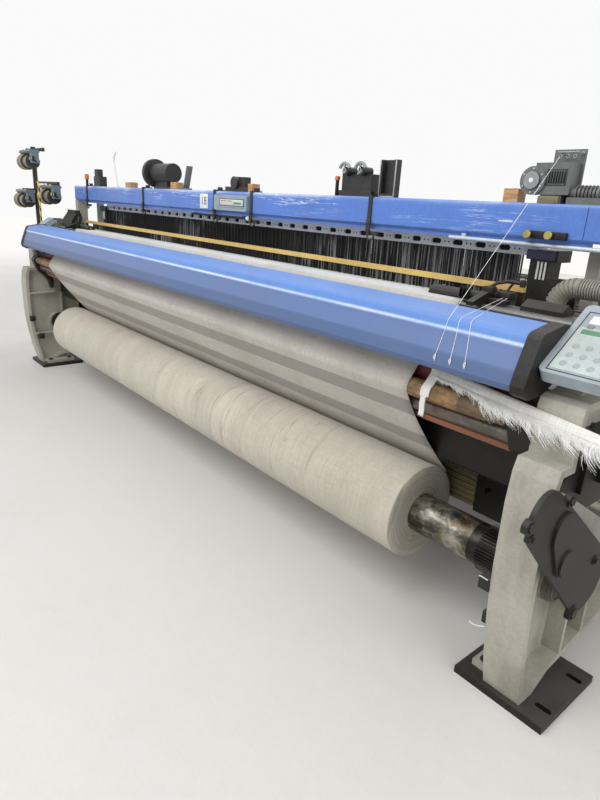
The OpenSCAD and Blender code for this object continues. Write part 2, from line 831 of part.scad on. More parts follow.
// Gear case on the right frame: a casting and a bolted lid, from the motor to the cloth beam.
case_a = [-165, 718];
case_b = [180, 410];
case_r = [75, 105];
case_shift = [58, 26];
case_wall = 26;
lid_t = 12;
// The outline round two circles: an oval that grows towards the second.
module oval(a, ra, b, rb) {
    translate(a) circle(ra, $fn = fine);
    translate(b) circle(rb, $fn = fine);
    polygon([
        a + ra * tangent(a, ra, b, rb, 1), b + rb * tangent(a, ra, b, rb, 1),
        b + rb * tangent(a, ra, b, rb, -1), a + ra * tangent(a, ra, b, rb, -1)
    ]);
}

module gear_case() {
    color("#8d8d88") at_origin() {
        along_x(outer_x, outer_x + case_wall)
            oval(case_a + [72, -22], case_r[0] - 11, case_b + case_shift, case_r[1] + 18);
        along_x(web_end + 22, outer_x)
            polygon([[-40, 620], [110, 620], [170, 560], [170, 470], [100, 440], [-20, 500]]);
        box([web_end, web_end + 22], [-20, 90], [500, 600]);
        rod_x([12, 880], 8, outer_x, outer_x + 100, 48);
        both_sides() {
            rod_x(roll_c, journal_r + 26, web_end + 26, web_end + 36);
            difference() {
                rod_x(roll_c, journal_r + 30, web_end + 8, web_end + 26);
                rod_x(roll_c, journal_r + 4, web_end, web_end + 23);
            }
        }
    }
}

lid_lugs = [[-247, 728, 19], [-226, 690, 13], [-58, 738, 17], [199, 468, 15], [124, 322, 24]];
housing_x = outer_x - 8;
module gear_cover() {
    lid = outer_x + case_wall;
    face = lid + lid_t;
    color("#1e1d1f") at_origin() {
        along_x(lid, face) oval(case_a, case_r[0], case_b, case_r[1]);
        along_x(face, face + 8) oval([-62, 652], 54, [-12, 562], 58);
        rod_x([-20, 548], 38, face + 8, face + 14);
        for (g = lid_lugs) rod_x([g[0], g[1]], g[2], lid, face + 4, 48);
        for (g = lid_lugs) rod_x([g[0], g[1]], g[2] - 6, face + 4, face + 9, 6);
        along_x(web_end, housing_x)
            polygon([[-28, 624], [330, 624], [330, 852], [34, 852], [34, 770], [-28, 750]]);
        box([housing_x, outer_x + 6], [76, 92], [700, 852]);
        box([housing_x, outer_x + 6], [196, 212], [700, 852]);
    }
}

// Control panels: sloped boxes with a membrane keypad.
module on_slope(x) {
    translate([x, panel_low[0], panel_low[1]]) rotate([panel_tilt, 0, 0]) children();
}

panel_x = inner_x + 0.5;
module control_panel_right() {
    color("#b9c4c6") at_origin() on_slope(panel_x) linear_extrude(panel_t) rounded(panel_w, panel_l, 18);
}

left_panel_w = 110;
module control_panel_left() {
    color("#b9c4c6") at_origin() on_slope(-panel_x - left_panel_w) linear_extrude(panel_t)
        rounded(left_panel_w, panel_l, 14);
}

module keypads() {
    color("#cfe0da") at_origin() {
        on_slope(panel_x) translate([22, 18, panel_t]) linear_extrude(1.5)
            rounded(panel_w - 44, panel_l * 0.6, 10);
        on_slope(-panel_x - left_panel_w) translate([12, 18, panel_t]) linear_extrude(1.5)
            rounded(left_panel_w - 24, panel_l * 0.6, 8);
    }
}

// Weft feeders on their stand at the left.
feeder_at = [[-2640, 190, 1600], [-2840, 190, 1290], [-2330, 240, 1335]];
feeder_r = 62;
stand_x = -2900;
stand_y = 300;
module feeder_stand() {
    color("#35373b") at_origin() {
        translate([stand_x, stand_y, 12]) cylinder(h = 1720, r = 20, $fn = 48);
        translate([stand_x, stand_y, 0]) cylinder(h = 12, r = 150, $fn = 64);
        box([stand_x, -outer_x], [stand_y, stand_y + 52], [400, 430]);
        for (f = feeder_at) {
            box([stand_x - 12, f[0] + 20], [stand_y - 10, stand_y + 10], [f[2] + 100, f[2] + 116]);
            box([f[0] - 20, f[0] + 20], [f[1] - 20, stand_y + 10], [f[2] + 88, f[2] + 100]);
        }
    }
}

module weft_feeders() {
    color("#5e6b73") at_origin() for (f = feeder_at) translate(f) difference() {
        union() {
            rod_x([0, 0], feeder_r, -150, -60, 64);
            rod_x([0, 0], feeder_r - 16, -40, 70, 64);
            rod_x([0, 0], 18, -60, -40, 32);
            along_x(-150, 150) polygon([[-30, 62], [-40, 74], [-32, 88], [32, 88], [40, 74], [30, 62], [0, 58]]);
            box([110, 150], [-30, 30], [-14, 62]);
        }
        rod_x([0, 0], 8 + run_c, 80, 160, 32);
    }
}

module feeder_disc(i) {
    translate(feeder_at[i]) {
        rod_x([0, 0], feeder_r - 6, 74, 82, 64);
        rod_x([0, 0], 8, 82, 140, 32);
        translate([0, 0, feeder_r - 14]) rod_x([0, 0], 4, 82, 96, 16);
    }
}

module feeder_disc_1() { color("#1b1b1c") at_origin() feeder_disc(0); }
module feeder_disc_2() { color("#1b1b1c") at_origin() feeder_disc(1); }
module feeder_disc_3() { color("#1b1b1c") at_origin() feeder_disc(2); }

// Selvedge drives on the upper beam.
top_z = beam_z + beam_h;
top_y = beam_y + 10;
leno_c = [top_y + 24, top_z + 92];
module selvedge_drive_left() {
    color("#2a2b2d") at_origin() {
        box([-812, -590], [top_y, top_y + 56], [top_z, top_z + 12]);
        box([-800, -640], [top_y + 4, top_y + 50], [top_z + 12, top_z + 60]);
        difference() {
            rod_x(leno_c, 56, -800, -592);
            rod_x(leno_c, 10 + run_c, -801, -740);
        }
        box([-1800, -1690], [top_y, top_y + 56], [top_z, top_z + 70]);
        box([-1780, -1720], [top_y, top_y + 40], [top_z + 70, top_z + 120]);
    }
}

module leno_disc() {
    color("#1a1a1b") at_origin() {
        rod_x(leno_c, 84, -850, -820);
        rod_x(leno_c, 40, -868, -850);
        rod_x(leno_c, 10, -820, -745, 48);
    }
}

module selvedge_drive_mid() {
    color("#3b3c3e") at_origin() {
        box([20, 224], [top_y, top_y + 56], [top_z, top_z + 24]);
        rod_y([120, top_z + 44], 30, top_y - 14, top_y + 44, 48);
        box([84, 190], [top_y + 6, top_y + 46], [top_z + 24, top_z + 72]);
        box([900, 1090], [top_y, top_y + 60], [top_z, top_z + 22]);
        box([912, 1078], [top_y + 6, top_y + 54], [top_z + 22, top_z + 86]);
        for (x = [950, 1040]) rod_y([x, top_z + 96], 17, top_y - 16, top_y + 40, 48);
        difference() {
            box([1128, 1208], [top_y + 4, top_y + 34], [top_z, top_z + 138]);
            box([1138, 1198], [top_y + 3, top_y + 24], [top_z + 14, top_z + 139]);
        }
    }
}

module selvedge_drive_right() {
    hub = [1785, top_z + 66];
    color("#56575a") at_origin() {
        rod_y(hub, 42, top_y - 10, top_y + 22);
        rod_y(hub, 11, top_y - 16, top_y - 10, 48);
        box([1786, 1904], [top_y - 2, top_y + 46], [top_z + 26, top_z + 118]);
        box([1814, 1913], [top_y + 46, top_y + 52], [top_z, top_z + 158]);
        box([1812, 1880], [top_y + 4, top_y + 46], [top_z, top_z + 26]);
        for (k = [0:6]) rod_x([top_y + 24, top_z + 32], 21, 1918 + k * 11, 1924 + k * 11, 48);
        rod_x([top_y + 24, top_z + 32], 15, 1900, 2000, 48);
        box([1900, 2010], [top_y, top_y + 46], [top_z, top_z + 20]);
    }
}

module wooden_blocks() {
    color("#c99a6b") at_origin() for (b = [[-1238, 92, 34], [-590, 72, 40], [230, 38, 40], [1686, 52, 42]])
        box([b[0], b[0] + b[1]], [top_y, top_y + 48], [top_z, top_z + b[2]]);
}

// Main motor on the left frame and the waste tape at the right.
module drive_motor() {
    color("#55606a") at_origin() mirror([1, 0, 0]) {
        rod_x([820, 420], 130, outer_x + 20, outer_x + 320);
        for (k = [0:7]) rod_x([820, 420], 142, outer_x + 60 + k * 28, outer_x + 70 + k * 28);
        rod_x([820, 420], 150, web_end + 20, outer_x + 20);
        box([outer_x + 90, outer_x + 210], [760, 880], [540, 590]);
        box([web_end, web_end + 20], [720, 920], [330, 510]);
    }
}

tape_y = 4 - seat_gap;
module waste_tape() {
    color("#e6e6e2") at_origin() along_y(tape_y - 3, tape_y) polygon([
        [1800, 952], [1951, 938], [2077, 925], [2217, 910], [2330, 898], [2330, 871], [2222, 883], [2081, 903],
        [1954, 918], [1800, 938]
    ]);
}

side_frame_right();
side_frame_left();
foot_plates();
cross_member_front();
cross_member_brackets();
lower_cross_members();
breast_beam();
front_cover();
cover_end_caps();
cloth_sheet();
cloth_guard_bar();
guard_strip();
roller_brackets();
upper_beam();
beam_straps();
display_module();
guard_rail();
beam_stands();
heald_guides();
temples();
rapier_housing_left();
rapier_housing_right();
air_hose();
gear_case();
gear_cover();
control_panel_right();
control_panel_left();
keypads();
feeder_stand();
weft_feeders();
selvedge_drive_left();
selvedge_drive_mid();
selvedge_drive_right();
wooden_blocks();
warp_sheet();
warp_stop_motion();
back_rest_brackets();
drive_motor();
waste_tape();
sley_beam();
sley_shaft();
reed();
heald_frame_1();
heald_frame_2();
heald_frame_3();
heald_frame_4();
cloth_roll();
cloth_beam();
take_up_roller();
press_roller();
warp_beam();
warp_yarn();
back_rest_roller();
rapier_wheel_right();
rapier_wheel_left();
feeder_disc_1();
feeder_disc_2();
feeder_disc_3();
leno_disc();
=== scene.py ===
"""Dresses the solids of a wide power loom with finishes, cloth, yarn and small fittings."""

import logging
import math
import random
from dataclasses import dataclass
from enum import Enum

import bmesh
import bpy
from mathutils import Matrix, Vector


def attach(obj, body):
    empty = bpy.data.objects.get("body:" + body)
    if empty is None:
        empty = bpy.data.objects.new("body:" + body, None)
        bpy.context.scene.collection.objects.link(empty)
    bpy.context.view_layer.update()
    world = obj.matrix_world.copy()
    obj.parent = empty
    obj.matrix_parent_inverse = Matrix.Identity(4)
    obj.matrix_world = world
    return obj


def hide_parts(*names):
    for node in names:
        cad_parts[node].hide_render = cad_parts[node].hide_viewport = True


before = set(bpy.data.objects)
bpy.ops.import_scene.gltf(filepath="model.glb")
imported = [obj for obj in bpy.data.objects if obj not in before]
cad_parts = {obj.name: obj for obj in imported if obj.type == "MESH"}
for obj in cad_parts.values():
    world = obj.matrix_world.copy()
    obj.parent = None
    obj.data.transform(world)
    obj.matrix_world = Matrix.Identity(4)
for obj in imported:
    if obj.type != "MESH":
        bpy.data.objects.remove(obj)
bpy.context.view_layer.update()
LOG = logging.getLogger("loom")

MM = 0.001
FRONT_FEET = 760.0
SHARP_DEGREES = 35.0
Pair = tuple[float, float]
Profile = list[Pair]
Colour = tuple[float, float, float]
Spot = tuple[float, float, float]
Piece = bpy.types.Object
Socket = bpy.types.NodeSocket


def srgb(red: int, green: int, blue: int) -> Colour:
    """Turn a colour as seen on screen into the linear values of a shader.

    Args:
        red: Red from 0 to 255.
        green: Green from 0 to 255.
        blue: Blue from 0 to 255.

    Returns:
        The linear colour.
    """
    def linear(value: int) -> float:
        """Return one linear channel."""
        part = value / 255
        return part / 12.92 if part <= 0.04045 else ((part + 0.055) / 1.055) ** 2.4

    return linear(red), linear(green), linear(blue)


@dataclass(frozen=True)
class LoomSizes:
    """Main sizes of the loom in millimetres, with depths measured back from the front feet."""

    inner: float = 2125.0
    outer: float = 2246.0
    web_end: float = 2189.0
    cloth_half: float = 1708.0
    warp_height: float = 1124.0
    fell: float = 322.0
    dent_pitch: float = 32.0
    strips: int = 107
    strip_width: float = 24.0
    strip_end: float = 1290.0
    nose: Pair = (212.0, 1109.2)
    nose_radius: float = 13.0
    take_up: Pair = (110.0, 915.0)
    take_up_radius: float = 72.0
    press: Pair = (18.0, 862.0)
    press_radius: float = 30.0
    roll: Pair = (150.0, 368.0)
    roll_radius: float = 175.0
    rest: Pair = (1560.0, 1062.2)
    rest_radius: float = 60.0
    warp_beam: Pair = (1330.0, 560.0)
    yarn_radius: float = 330.0
    beam_front: float = 385.0
    beam_high: float = 1431.0
    heald_first: float = 485.0
    heald_step: float = 16.0
    heald_thick: float = 9.0
    panel_low: Pair = (-18.0, 999.0)
    panel_tilt: float = 34.6


LOOM = LoomSizes()


def link(item: Piece) -> None:
    """Put an object into the scene."""
    bpy.context.scene.collection.objects.link(item)


class Along(Enum):
    """Direction in which a rod or a bolt points."""

    X = (1.0, 0.0, 0.0)
    Y = (0.0, 1.0, 0.0)
    Z = (0.0, 0.0, 1.0)

    def turn(self) -> Matrix:
        """Return the rotation that brings the vertical axis here."""
        return Vector((0, 0, 1)).rotation_difference(Vector(self.value)).to_matrix()


class Shape:
    """A mesh under construction, in millimetres."""

    def __init__(self) -> None:
        """Start with an empty mesh."""
        self.bm = bmesh.new()
        self.uv = self.bm.loops.layers.uv.new("sheet")

    def soften(self, verts: list, width: float, segments: int = 2) -> None:
        """Round the edges that join some vertices.

        Args:
            verts: The vertices.
            width: Width of the rounding.
            segments: Steps across the rounding.
        """
        if width <= 0:
            return
        edges = list({edge for vert in verts for edge in vert.link_edges if edge.calc_face_angle(0) > 0.5})
        bmesh.ops.bevel(
            self.bm, geom=edges, offset=width, offset_type="OFFSET", segments=segments, profile=0.5,
            affect="EDGES", material=-1, clamp_overlap=True,
        )

    def block(self, x: Pair, y: Pair, z: Pair, rounding: float = 0.0) -> list:
        """Add a box with softened edges.

        Args:
            x: Left and right limits.
            y: Front and back limits.
            z: Lower and upper limits.
            rounding: Width of the softened edges.

        Returns:
            The box's first vertices.
        """
        verts = bmesh.ops.create_cube(self.bm, size=1.0)["verts"]
        bmesh.ops.scale(self.bm, vec=(x[1] - x[0], y[1] - y[0], z[1] - z[0]), verts=verts)
        middle = ((x[0] + x[1]) / 2, (y[0] + y[1]) / 2, (z[0] + z[1]) / 2)
        bmesh.ops.translate(self.bm, vec=middle, verts=verts)
        self.soften(verts, rounding)
        return verts

    def rod(self, start: Spot, length: float, radius: float, along: Along = Along.X, sides: int = 24,
            tip: float | None = None, rounding: float = 0.0) -> list:
        """Add a round or many-sided rod.

        Args:
            start: Centre of the first end.
            length: Length towards the positive axis.
            radius: Radius at the first end.
            along: Axis of the rod.
            sides: Number of sides.
            tip: Radius at the other end, the same when left out.
            rounding: Width of the softened rims.

        Returns:
            The rod's first vertices.
        """
        verts = bmesh.ops.create_cone(
            self.bm, cap_ends=True, segments=sides, radius1=radius, radius2=radius if tip is None else tip,
            depth=length,
        )["verts"]
        bmesh.ops.translate(self.bm, vec=(0, 0, length / 2), verts=verts)
        bmesh.ops.rotate(self.bm, cent=(0, 0, 0), matrix=along.turn(), verts=verts)
        bmesh.ops.translate(self.bm, vec=start, verts=verts)
        self.soften(verts, rounding, 1)
        return verts

    def prism(self, profile: Profile, x: Pair, rounding: float = 0.0) -> list:
        """Extrude a closed profile of depth and height sideways.

        Args:
            profile: Corner points of the profile.
            x: Left and right limits.
            rounding: Width of the softened edges.

        Returns:
            All vertices of the prism before rounding.
        """
        verts = [self.bm.verts.new((x[0], y, z)) for y, z in profile]
        face = self.bm.faces.new(verts)
        made = bmesh.ops.extrude_face_region(self.bm, geom=[face])["geom"]
        moved = [item for item in made if isinstance(item, bmesh.types.BMVert)]
        bmesh.ops.translate(self.bm, vec=(x[1] - x[0], 0, 0), verts=moved)
        bmesh.ops.recalc_face_normals(self.bm, faces=list({f for v in verts + moved for f in v.link_faces}))
        self.soften(verts + moved, rounding)
        return verts + moved

    def turned(self, profile: Profile, axis: Pair, steps: int) -> None:
        """Spin a profile of width and radius about an axis that runs sideways.

        Args:
            profile: Points of sideways place and radius.
            axis: Depth and height of the axis.
            steps: Number of steps round the axis.
        """
        verts = [self.bm.verts.new((x, axis[0], axis[1] + radius)) for x, radius in profile]
        edges = [self.bm.edges.new(pair) for pair in zip(verts, verts[1:])]
        bmesh.ops.spin(
            self.bm, geom=verts + edges, cent=(0, axis[0], axis[1]), axis=(1, 0, 0), dvec=(0, 0, 0),
            angle=math.tau, steps=steps, use_merge=True, use_duplicate=False,
        )

    def tube(self, path: list[Vector], radius: float, sides: int = 8) -> None:
        """Sweep a round section along a path.

        Args:
            path: Points of the centre line.
            radius: Radius of the section.
            sides: Number of sides of the section.
        """
        rings = []
        side = Vector((0, 0, 1))
        for index, point in enumerate(path):
            ahead = (path[min(index + 1, len(path) - 1)] - path[max(index - 1, 0)]).normalized()
            lean = side.dot(ahead)
            side = (side - ahead * lean).normalized() if abs(lean) < 0.98 else ahead.orthogonal()
            side.normalize()
            ring = bmesh.ops.create_circle(self.bm, cap_ends=False, radius=radius, segments=sides)["verts"]
            across = ahead.cross(side)
            turn = Matrix((side, across, ahead)).transposed()
            bmesh.ops.rotate(self.bm, cent=(0, 0, 0), matrix=turn, verts=ring)
            bmesh.ops.translate(self.bm, vec=point, verts=ring)
            rings.append([edge for vert in ring for edge in vert.link_edges])
        for first, second in zip(rings, rings[1:]):
            bmesh.ops.bridge_loops(self.bm, edges=list(set(first) | set(second)))
        for ring in (rings[0], rings[-1]):
            bmesh.ops.contextual_create(self.bm, geom=list(set(ring)))

    def strip(self, points: Profile, x: Pair, columns: int) -> float:
        """Draw an open profile of depth and height sideways, and map it in metres.

        Args:
            points: Points of the profile.
            x: Left and right limits.
            columns: Number of steps across.

        Returns:
            The length along the profile, in metres.
        """
        along = self.bm.verts.layers.float.new("along")
        verts = [self.bm.verts.new((x[0], y, z)) for y, z in points]
        row = [self.bm.edges.new(pair) for pair in zip(verts, verts[1:])]
        total = 0.0
        for vert, edge in zip(verts[1:], row):
            total += edge.calc_length() * MM
            vert[along] = total
        for _ in range(columns):
            made = bmesh.ops.extrude_edge_only(self.bm, edges=row)["geom"]
            moved = {item for item in made if isinstance(item, bmesh.types.BMVert)}
            row = [item for item in made
                   if isinstance(item, bmesh.types.BMEdge) and moved.issuperset(item.verts)]
            bmesh.ops.translate(self.bm, vec=((x[1] - x[0]) / columns, 0, 0), verts=list(moved))
        for face in self.bm.faces:
            for loop in face.loops:
                loop[self.uv].uv = ((loop.vert.co.x - x[0]) * MM, loop.vert[along])
        return total

    def tilted(self, verts: list, centre: Spot, turn: Matrix) -> None:
        """Turn some vertices about a centre."""
        bmesh.ops.rotate(self.bm, cent=centre, matrix=turn, verts=verts)

    def finish(self, name: str, material: bpy.types.Material, body: str, slot: str,
               smooth: bool = True) -> Piece:
        """Make the object, place it in the frame and let it ride.

        Args:
            name: Name of the piece.
            material: Its finish.
            body: Body that carries it.
            slot: Material slot of the record; not used.
            smooth: Whether faces are shaded smoothly across soft edges.

        Returns:
            The new object.
        """
        bmesh.ops.scale(self.bm, vec=(MM, MM, MM), verts=self.bm.verts)
        bmesh.ops.translate(self.bm, vec=(0, -FRONT_FEET * MM, 0), verts=self.bm.verts)
        bmesh.ops.recalc_face_normals(self.bm, faces=self.bm.faces)
        mesh = bpy.data.meshes.new(name)
        self.bm.to_mesh(mesh)
        self.bm.free()
        mesh.materials.append(material)
        piece = bpy.data.objects.new(name, mesh)
        link(piece)
        if smooth:
            mesh.shade_smooth()
            mesh.set_sharp_from_angle(angle=math.radians(SHARP_DEGREES))
        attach(piece, body)
        LOG.info("%s rides on %s with %d faces", name, body, len(mesh.polygons))
        return piece


class Wiring:
    """Adds and joins the nodes of one material or group."""

    def __init__(self, tree: bpy.types.NodeTree) -> None:
        """Keep the node tree."""
        self.tree = tree

    def add(self, kind: str, inputs: dict | None = None, **settings: object) -> bpy.types.Node:
        """Add a node.

        Args:
            kind: Type of the node.
            inputs: Values or sockets for its inputs, by name or number.
            **settings: Other properties of the node.

        Returns:
            The new node.
        """
        node = self.tree.nodes.new(kind)
        for name, value in settings.items():
            setattr(node, name, value)
        for key, value in (inputs or {}).items():
            if isinstance(value, Socket):
                self.tree.links.new(value, node.inputs[key])
            else:
                node.inputs[key].default_value = value
        return node

    def math(self, operation: str, *values: object) -> Socket:
        """Return the result of a sum on one to three values or sockets."""
        return self.add("ShaderNodeMath", dict(enumerate(values)), operation=operation).outputs[0]

    def mix(self, factor: object, first: object, second: object) -> Socket:
        """Return a blend of two colours, each a socket or three values."""
        first, second = ((*tone, 1) if isinstance(tone, tuple) else tone for tone in (first, second))
        return self.add("ShaderNodeMix", {0: factor, 6: first, 7: second}, data_type="RGBA").outputs[2]

    def noise(self, where: object, scale: float, detail: float = 4.0, roughness: float = 0.55) -> Socket:
        """Return a noise value over a place."""
        inputs = {"Vector": where, "Scale": scale, "Detail": detail, "Roughness": roughness}
        return self.add("ShaderNodeTexNoise", inputs).outputs[0]

    def span(self, value: object, low: float, high: float, start: float = 0.0, end: float = 1.0) -> Socket:
        """Return a value brought from one range to another and held within it."""
        inputs = {0: value, 1: low, 2: high, 3: start, 4: end}
        return self.add("ShaderNodeMapRange", inputs, clamp=True, interpolation_type="SMOOTHSTEP").outputs[0]

    def scaled(self, where: object, by: Spot) -> Socket:
        """Return a place stretched along its axes."""
        return self.add("ShaderNodeMapping", {"Vector": where, "Scale": by}).outputs[0]

    def along(self, where: object, axis: int) -> Socket:
        """Return one of the three parts of a place or a direction."""
        return self.add("ShaderNodeSeparateXYZ", {0: where}).outputs[axis]

    def place(self) -> Socket:
        """Return the place on the piece."""
        return self.add("ShaderNodeTexCoord").outputs["Object"]


class Effect:
    """A pattern that several finishes share, kept as one node group."""

    built: dict[str, bpy.types.NodeTree] = {}

    @classmethod
    def start(cls, name: str, inputs: dict[str, object],
              outputs: dict[str, str]) -> tuple[Wiring, dict, dict]:
        """Open a new group.

        Args:
            name: Name of the group.
            inputs: Input names with their default values.
            outputs: Output names with their socket types.

        Returns:
            The wiring, the input sockets and the output sockets.
        """
        tree = bpy.data.node_groups.new(name, "ShaderNodeTree")
        for key, value in inputs.items():
            kind = "NodeSocketColor" if isinstance(value, tuple) else "NodeSocketFloat"
            tree.interface.new_socket(name=key, in_out="INPUT", socket_type=kind).default_value = value
        for key, kind in outputs.items():
            tree.interface.new_socket(name=key, in_out="OUTPUT", socket_type=kind)
        wiring = Wiring(tree)
        entry, leave = wiring.add("NodeGroupInput"), wiring.add("NodeGroupOutput")
        cls.built[name] = tree
        return wiring, entry.outputs, leave.inputs

    @classmethod
    def grime(cls) -> bpy.types.NodeTree:
        """Return dust on faces that look up, greasy blotches and small chips."""
        if "grime" in cls.built:
            return cls.built["grime"]
        inputs = {"Paint": (0.5, 0.5, 0.5, 1), "Dirt": (0.1, 0.1, 0.1, 1), "Amount": 0.3, "Dust": 0.2,
                  "Size": 3.0}
        outputs = {"Color": "NodeSocketColor", "Rough": "NodeSocketFloat", "Height": "NodeSocketFloat"}
        w, given, out = cls.start("grime", inputs, outputs)
        where = w.place()
        blots = {"Vector": where, "Scale": given["Size"], "Detail": 6.0}
        broad = w.add("ShaderNodeTexNoise", blots).outputs[0]
        runs = w.noise(w.scaled(where, (14, 14, 2.2)), 1.0, 5.0, 0.6)
        fine = w.noise(where, 90.0, 3.0, 0.6)
        specks = w.span(w.noise(where, 260.0, 2.0, 0.5), 0.66, 0.74)
        both = w.math("ADD", w.math("MULTIPLY", broad, 0.6), w.math("MULTIPLY", runs, 0.4))
        patch = w.span(both, 0.42, 0.66)
        soiled = w.math("MULTIPLY", w.math("ADD", patch, w.math("MULTIPLY", specks, 0.8)), given["Amount"])
        shaded = w.mix(w.span(fine, 0.3, 0.7, 0.0, 0.16), given["Paint"], given["Dirt"])
        painted = w.mix(w.math("MINIMUM", soiled, 1.0), shaded, given["Dirt"])
        facing = w.along(w.add("ShaderNodeNewGeometry").outputs["Normal"], 2)
        settled = w.math("MULTIPLY", w.span(facing, 0.35, 0.95), w.span(broad, 0.3, 0.7, 0.35, 1.0))
        dusted = w.mix(w.math("MULTIPLY", settled, given["Dust"]), painted, (0.62, 0.60, 0.56))
        tree = w.tree
        tree.links.new(dusted, out["Color"])
        tree.links.new(w.math("ADD", w.math("MULTIPLY", soiled, 0.18), w.math("MULTIPLY", settled, 0.2)),
                       out["Rough"])
        tree.links.new(w.math("ADD", w.math("MULTIPLY", fine, 0.4), w.math("MULTIPLY", specks, -0.3)),
                       out["Height"])
        return tree

    @classmethod
    def plain_weave(cls) -> bpy.types.NodeTree:
        """Return the over-and-under of warp and weft, read from the sheet's own map in metres."""
        if "plain_weave" in cls.built:
            return cls.built["plain_weave"]
        outputs = {"Height": "NodeSocketFloat", "Slub": "NodeSocketFloat"}
        w, given, out = cls.start("plain_weave", {"Pitch": 0.0008}, outputs)
        sheet = w.add("ShaderNodeUVMap", uv_map="sheet").outputs[0]
        parts = w.add("ShaderNodeSeparateXYZ", {0: sheet}).outputs
        waves = [w.math("SINE", w.math("DIVIDE", w.math("MULTIPLY", parts[i], math.pi), given["Pitch"]))
                 for i in (0, 1)]
        w.tree.links.new(w.math("ABSOLUTE", w.math("MULTIPLY", waves[0], waves[1])), out["Height"])
        long_way = w.noise(w.scaled(sheet, (6, 900, 1)), 1.0, 2.0)
        cross_way = w.noise(w.scaled(sheet, (700, 5, 1)), 1.0, 2.0)
        w.tree.links.new(w.math("MULTIPLY", w.math("ADD", long_way, cross_way), 0.5), out["Slub"])
        return w.tree


MADE: dict[str, bpy.types.Material] = {}


@dataclass(frozen=True)
class Finish:
    """Paint, plastic, rubber or metal, with the dirt that machines carry."""

    name: str
    colour: Colour
    roughness: float = 0.5
    metallic: float = 0.0
    dirt: Colour = (0.03, 0.028, 0.025)
    amount: float = 0.25
    dust: float = 0.15
    size: float = 3.0
    bump: float = 0.25
    coat: float = 0.0
    specular: float = 0.5

    def base(self) -> tuple[bpy.types.Material, Wiring, bpy.types.Node, bpy.types.Node]:
        """Return the material, its wiring, its shader and its grime group."""
        material = bpy.data.materials.new(f"{self.name}_finish")
        material.use_nodes = True
        MADE[self.name] = material
        w = Wiring(material.node_tree)
        shader = material.node_tree.nodes["Principled BSDF"]
        shader.inputs["Metallic"].default_value = self.metallic
        shader.inputs["Coat Weight"].default_value = self.coat
        shader.inputs["Coat Roughness"].default_value = 0.2
        shader.inputs["Specular IOR Level"].default_value = self.specular
        grime = w.add("ShaderNodeGroup", node_tree=Effect.grime())
        for key, value in {"Paint": (*self.colour, 1), "Dirt": (*self.dirt, 1), "Amount": self.amount,
                           "Dust": self.dust, "Size": self.size}.items():
            grime.inputs[key].default_value = value
        return material, w, shader, grime

    def paint(self, w: Wiring) -> object | None:
        """Return a pattern for the paint colour, or None for a plain one."""
        return None

    def relief(self, w: Wiring) -> object | None:
        """Return a height pattern in place of the fine grain, or None."""
        return None

    def make(self) -> bpy.types.Material:
        """Return the finished material."""
        if self.name in MADE:
            return MADE[self.name]
        material, w, shader, grime = self.base()
        pattern, height = self.paint(w), self.relief(w)
        if pattern is not None:
            w.tree.links.new(pattern, grime.inputs["Paint"])
        w.tree.links.new(grime.outputs["Color"], shader.inputs["Base Color"])
        w.tree.links.new(w.math("ADD", grime.outputs["Rough"], self.roughness), shader.inputs["Roughness"])
        if height is None:
            height = grime.outputs["Height"]
        bump = w.add("ShaderNodeBump", {"Strength": self.bump, "Distance": 0.001, "Height": height})
        w.tree.links.new(bump.outputs[0], shader.inputs["Normal"])
        return material


@dataclass(frozen=True)
class MottledMetal(Finish):
    """Bare steel with bright worn places, grease and rust, all with sharp edges."""

    worn: Colour = (0.45, 0.43, 0.38)
    rust: Colour = (0.16, 0.10, 0.05)
    olive: Colour = (0.26, 0.25, 0.10)
    bright_half: float = 9.0

    def paint(self, w: Wiring) -> object:
        """Return bright, dull, olive and rusty patches, and a greasy black end.

        Args:
            w: Wiring of the material.

        Returns:
            The colour.
        """
        where = w.place()
        broad = w.noise(w.scaled(where, (16, 26, 26)), 1.0, 9.0, 0.7)
        rust = w.span(w.noise(where, 9.0, 8.0, 0.7), 0.53, 0.6)
        stain = w.span(w.noise(w.scaled(where, (11, 15, 15)), 1.0, 8.0, 0.7), 0.56, 0.6)
        bare = w.mix(w.span(broad, 0.4, 0.66), self.colour, self.worn)
        rusty = w.mix(w.math("MULTIPLY", rust, 0.75), bare, self.rust)
        stained = w.mix(w.math("MULTIPLY", stain, 0.3), rusty, self.olive)
        aside = w.math("ABSOLUTE", w.along(where, 0))
        end = w.span(aside, self.bright_half, self.bright_half + 0.004)
        return w.mix(w.math("MULTIPLY", end, 0.92), stained, (0.012, 0.011, 0.01))


@dataclass(frozen=True)
class TurnedMetal(Finish):
    """Steel or covering with fine lines round its axis."""

    lines: float = 900.0

    def relief(self, w: Wiring) -> object:
        """Return lines across the sideways axis."""
        return w.noise(w.scaled(w.place(), (self.lines, 3, 3)), 1.0, 2.0)


@dataclass(frozen=True)
class WoundCover(Finish):
    """A roller wound with tape, with a crossed pattern and a darker outer end."""

    second: Colour = (0.2, 0.14, 0.07)
    step: float = 1.89

    def paint(self, w: Wiring) -> object:
        """Return crossed bands that darken past the end of the winding.

        Args:
            w: Wiring of the material.

        Returns:
            The colour.
        """
        where = w.place()
        parts = w.add("ShaderNodeSeparateXYZ", {0: where}).outputs
        patches = w.span(w.noise(w.scaled(where, (24, 60, 60)), 1.0, 5.0, 0.65), 0.35, 0.65)
        wound = w.mix(patches, self.colour, self.second)
        beyond = w.span(w.math("ABSOLUTE", parts[0]), self.step, self.step + 0.006)
        return w.mix(w.math("MULTIPLY", beyond, 0.55), wound, (0.04, 0.035, 0.03))


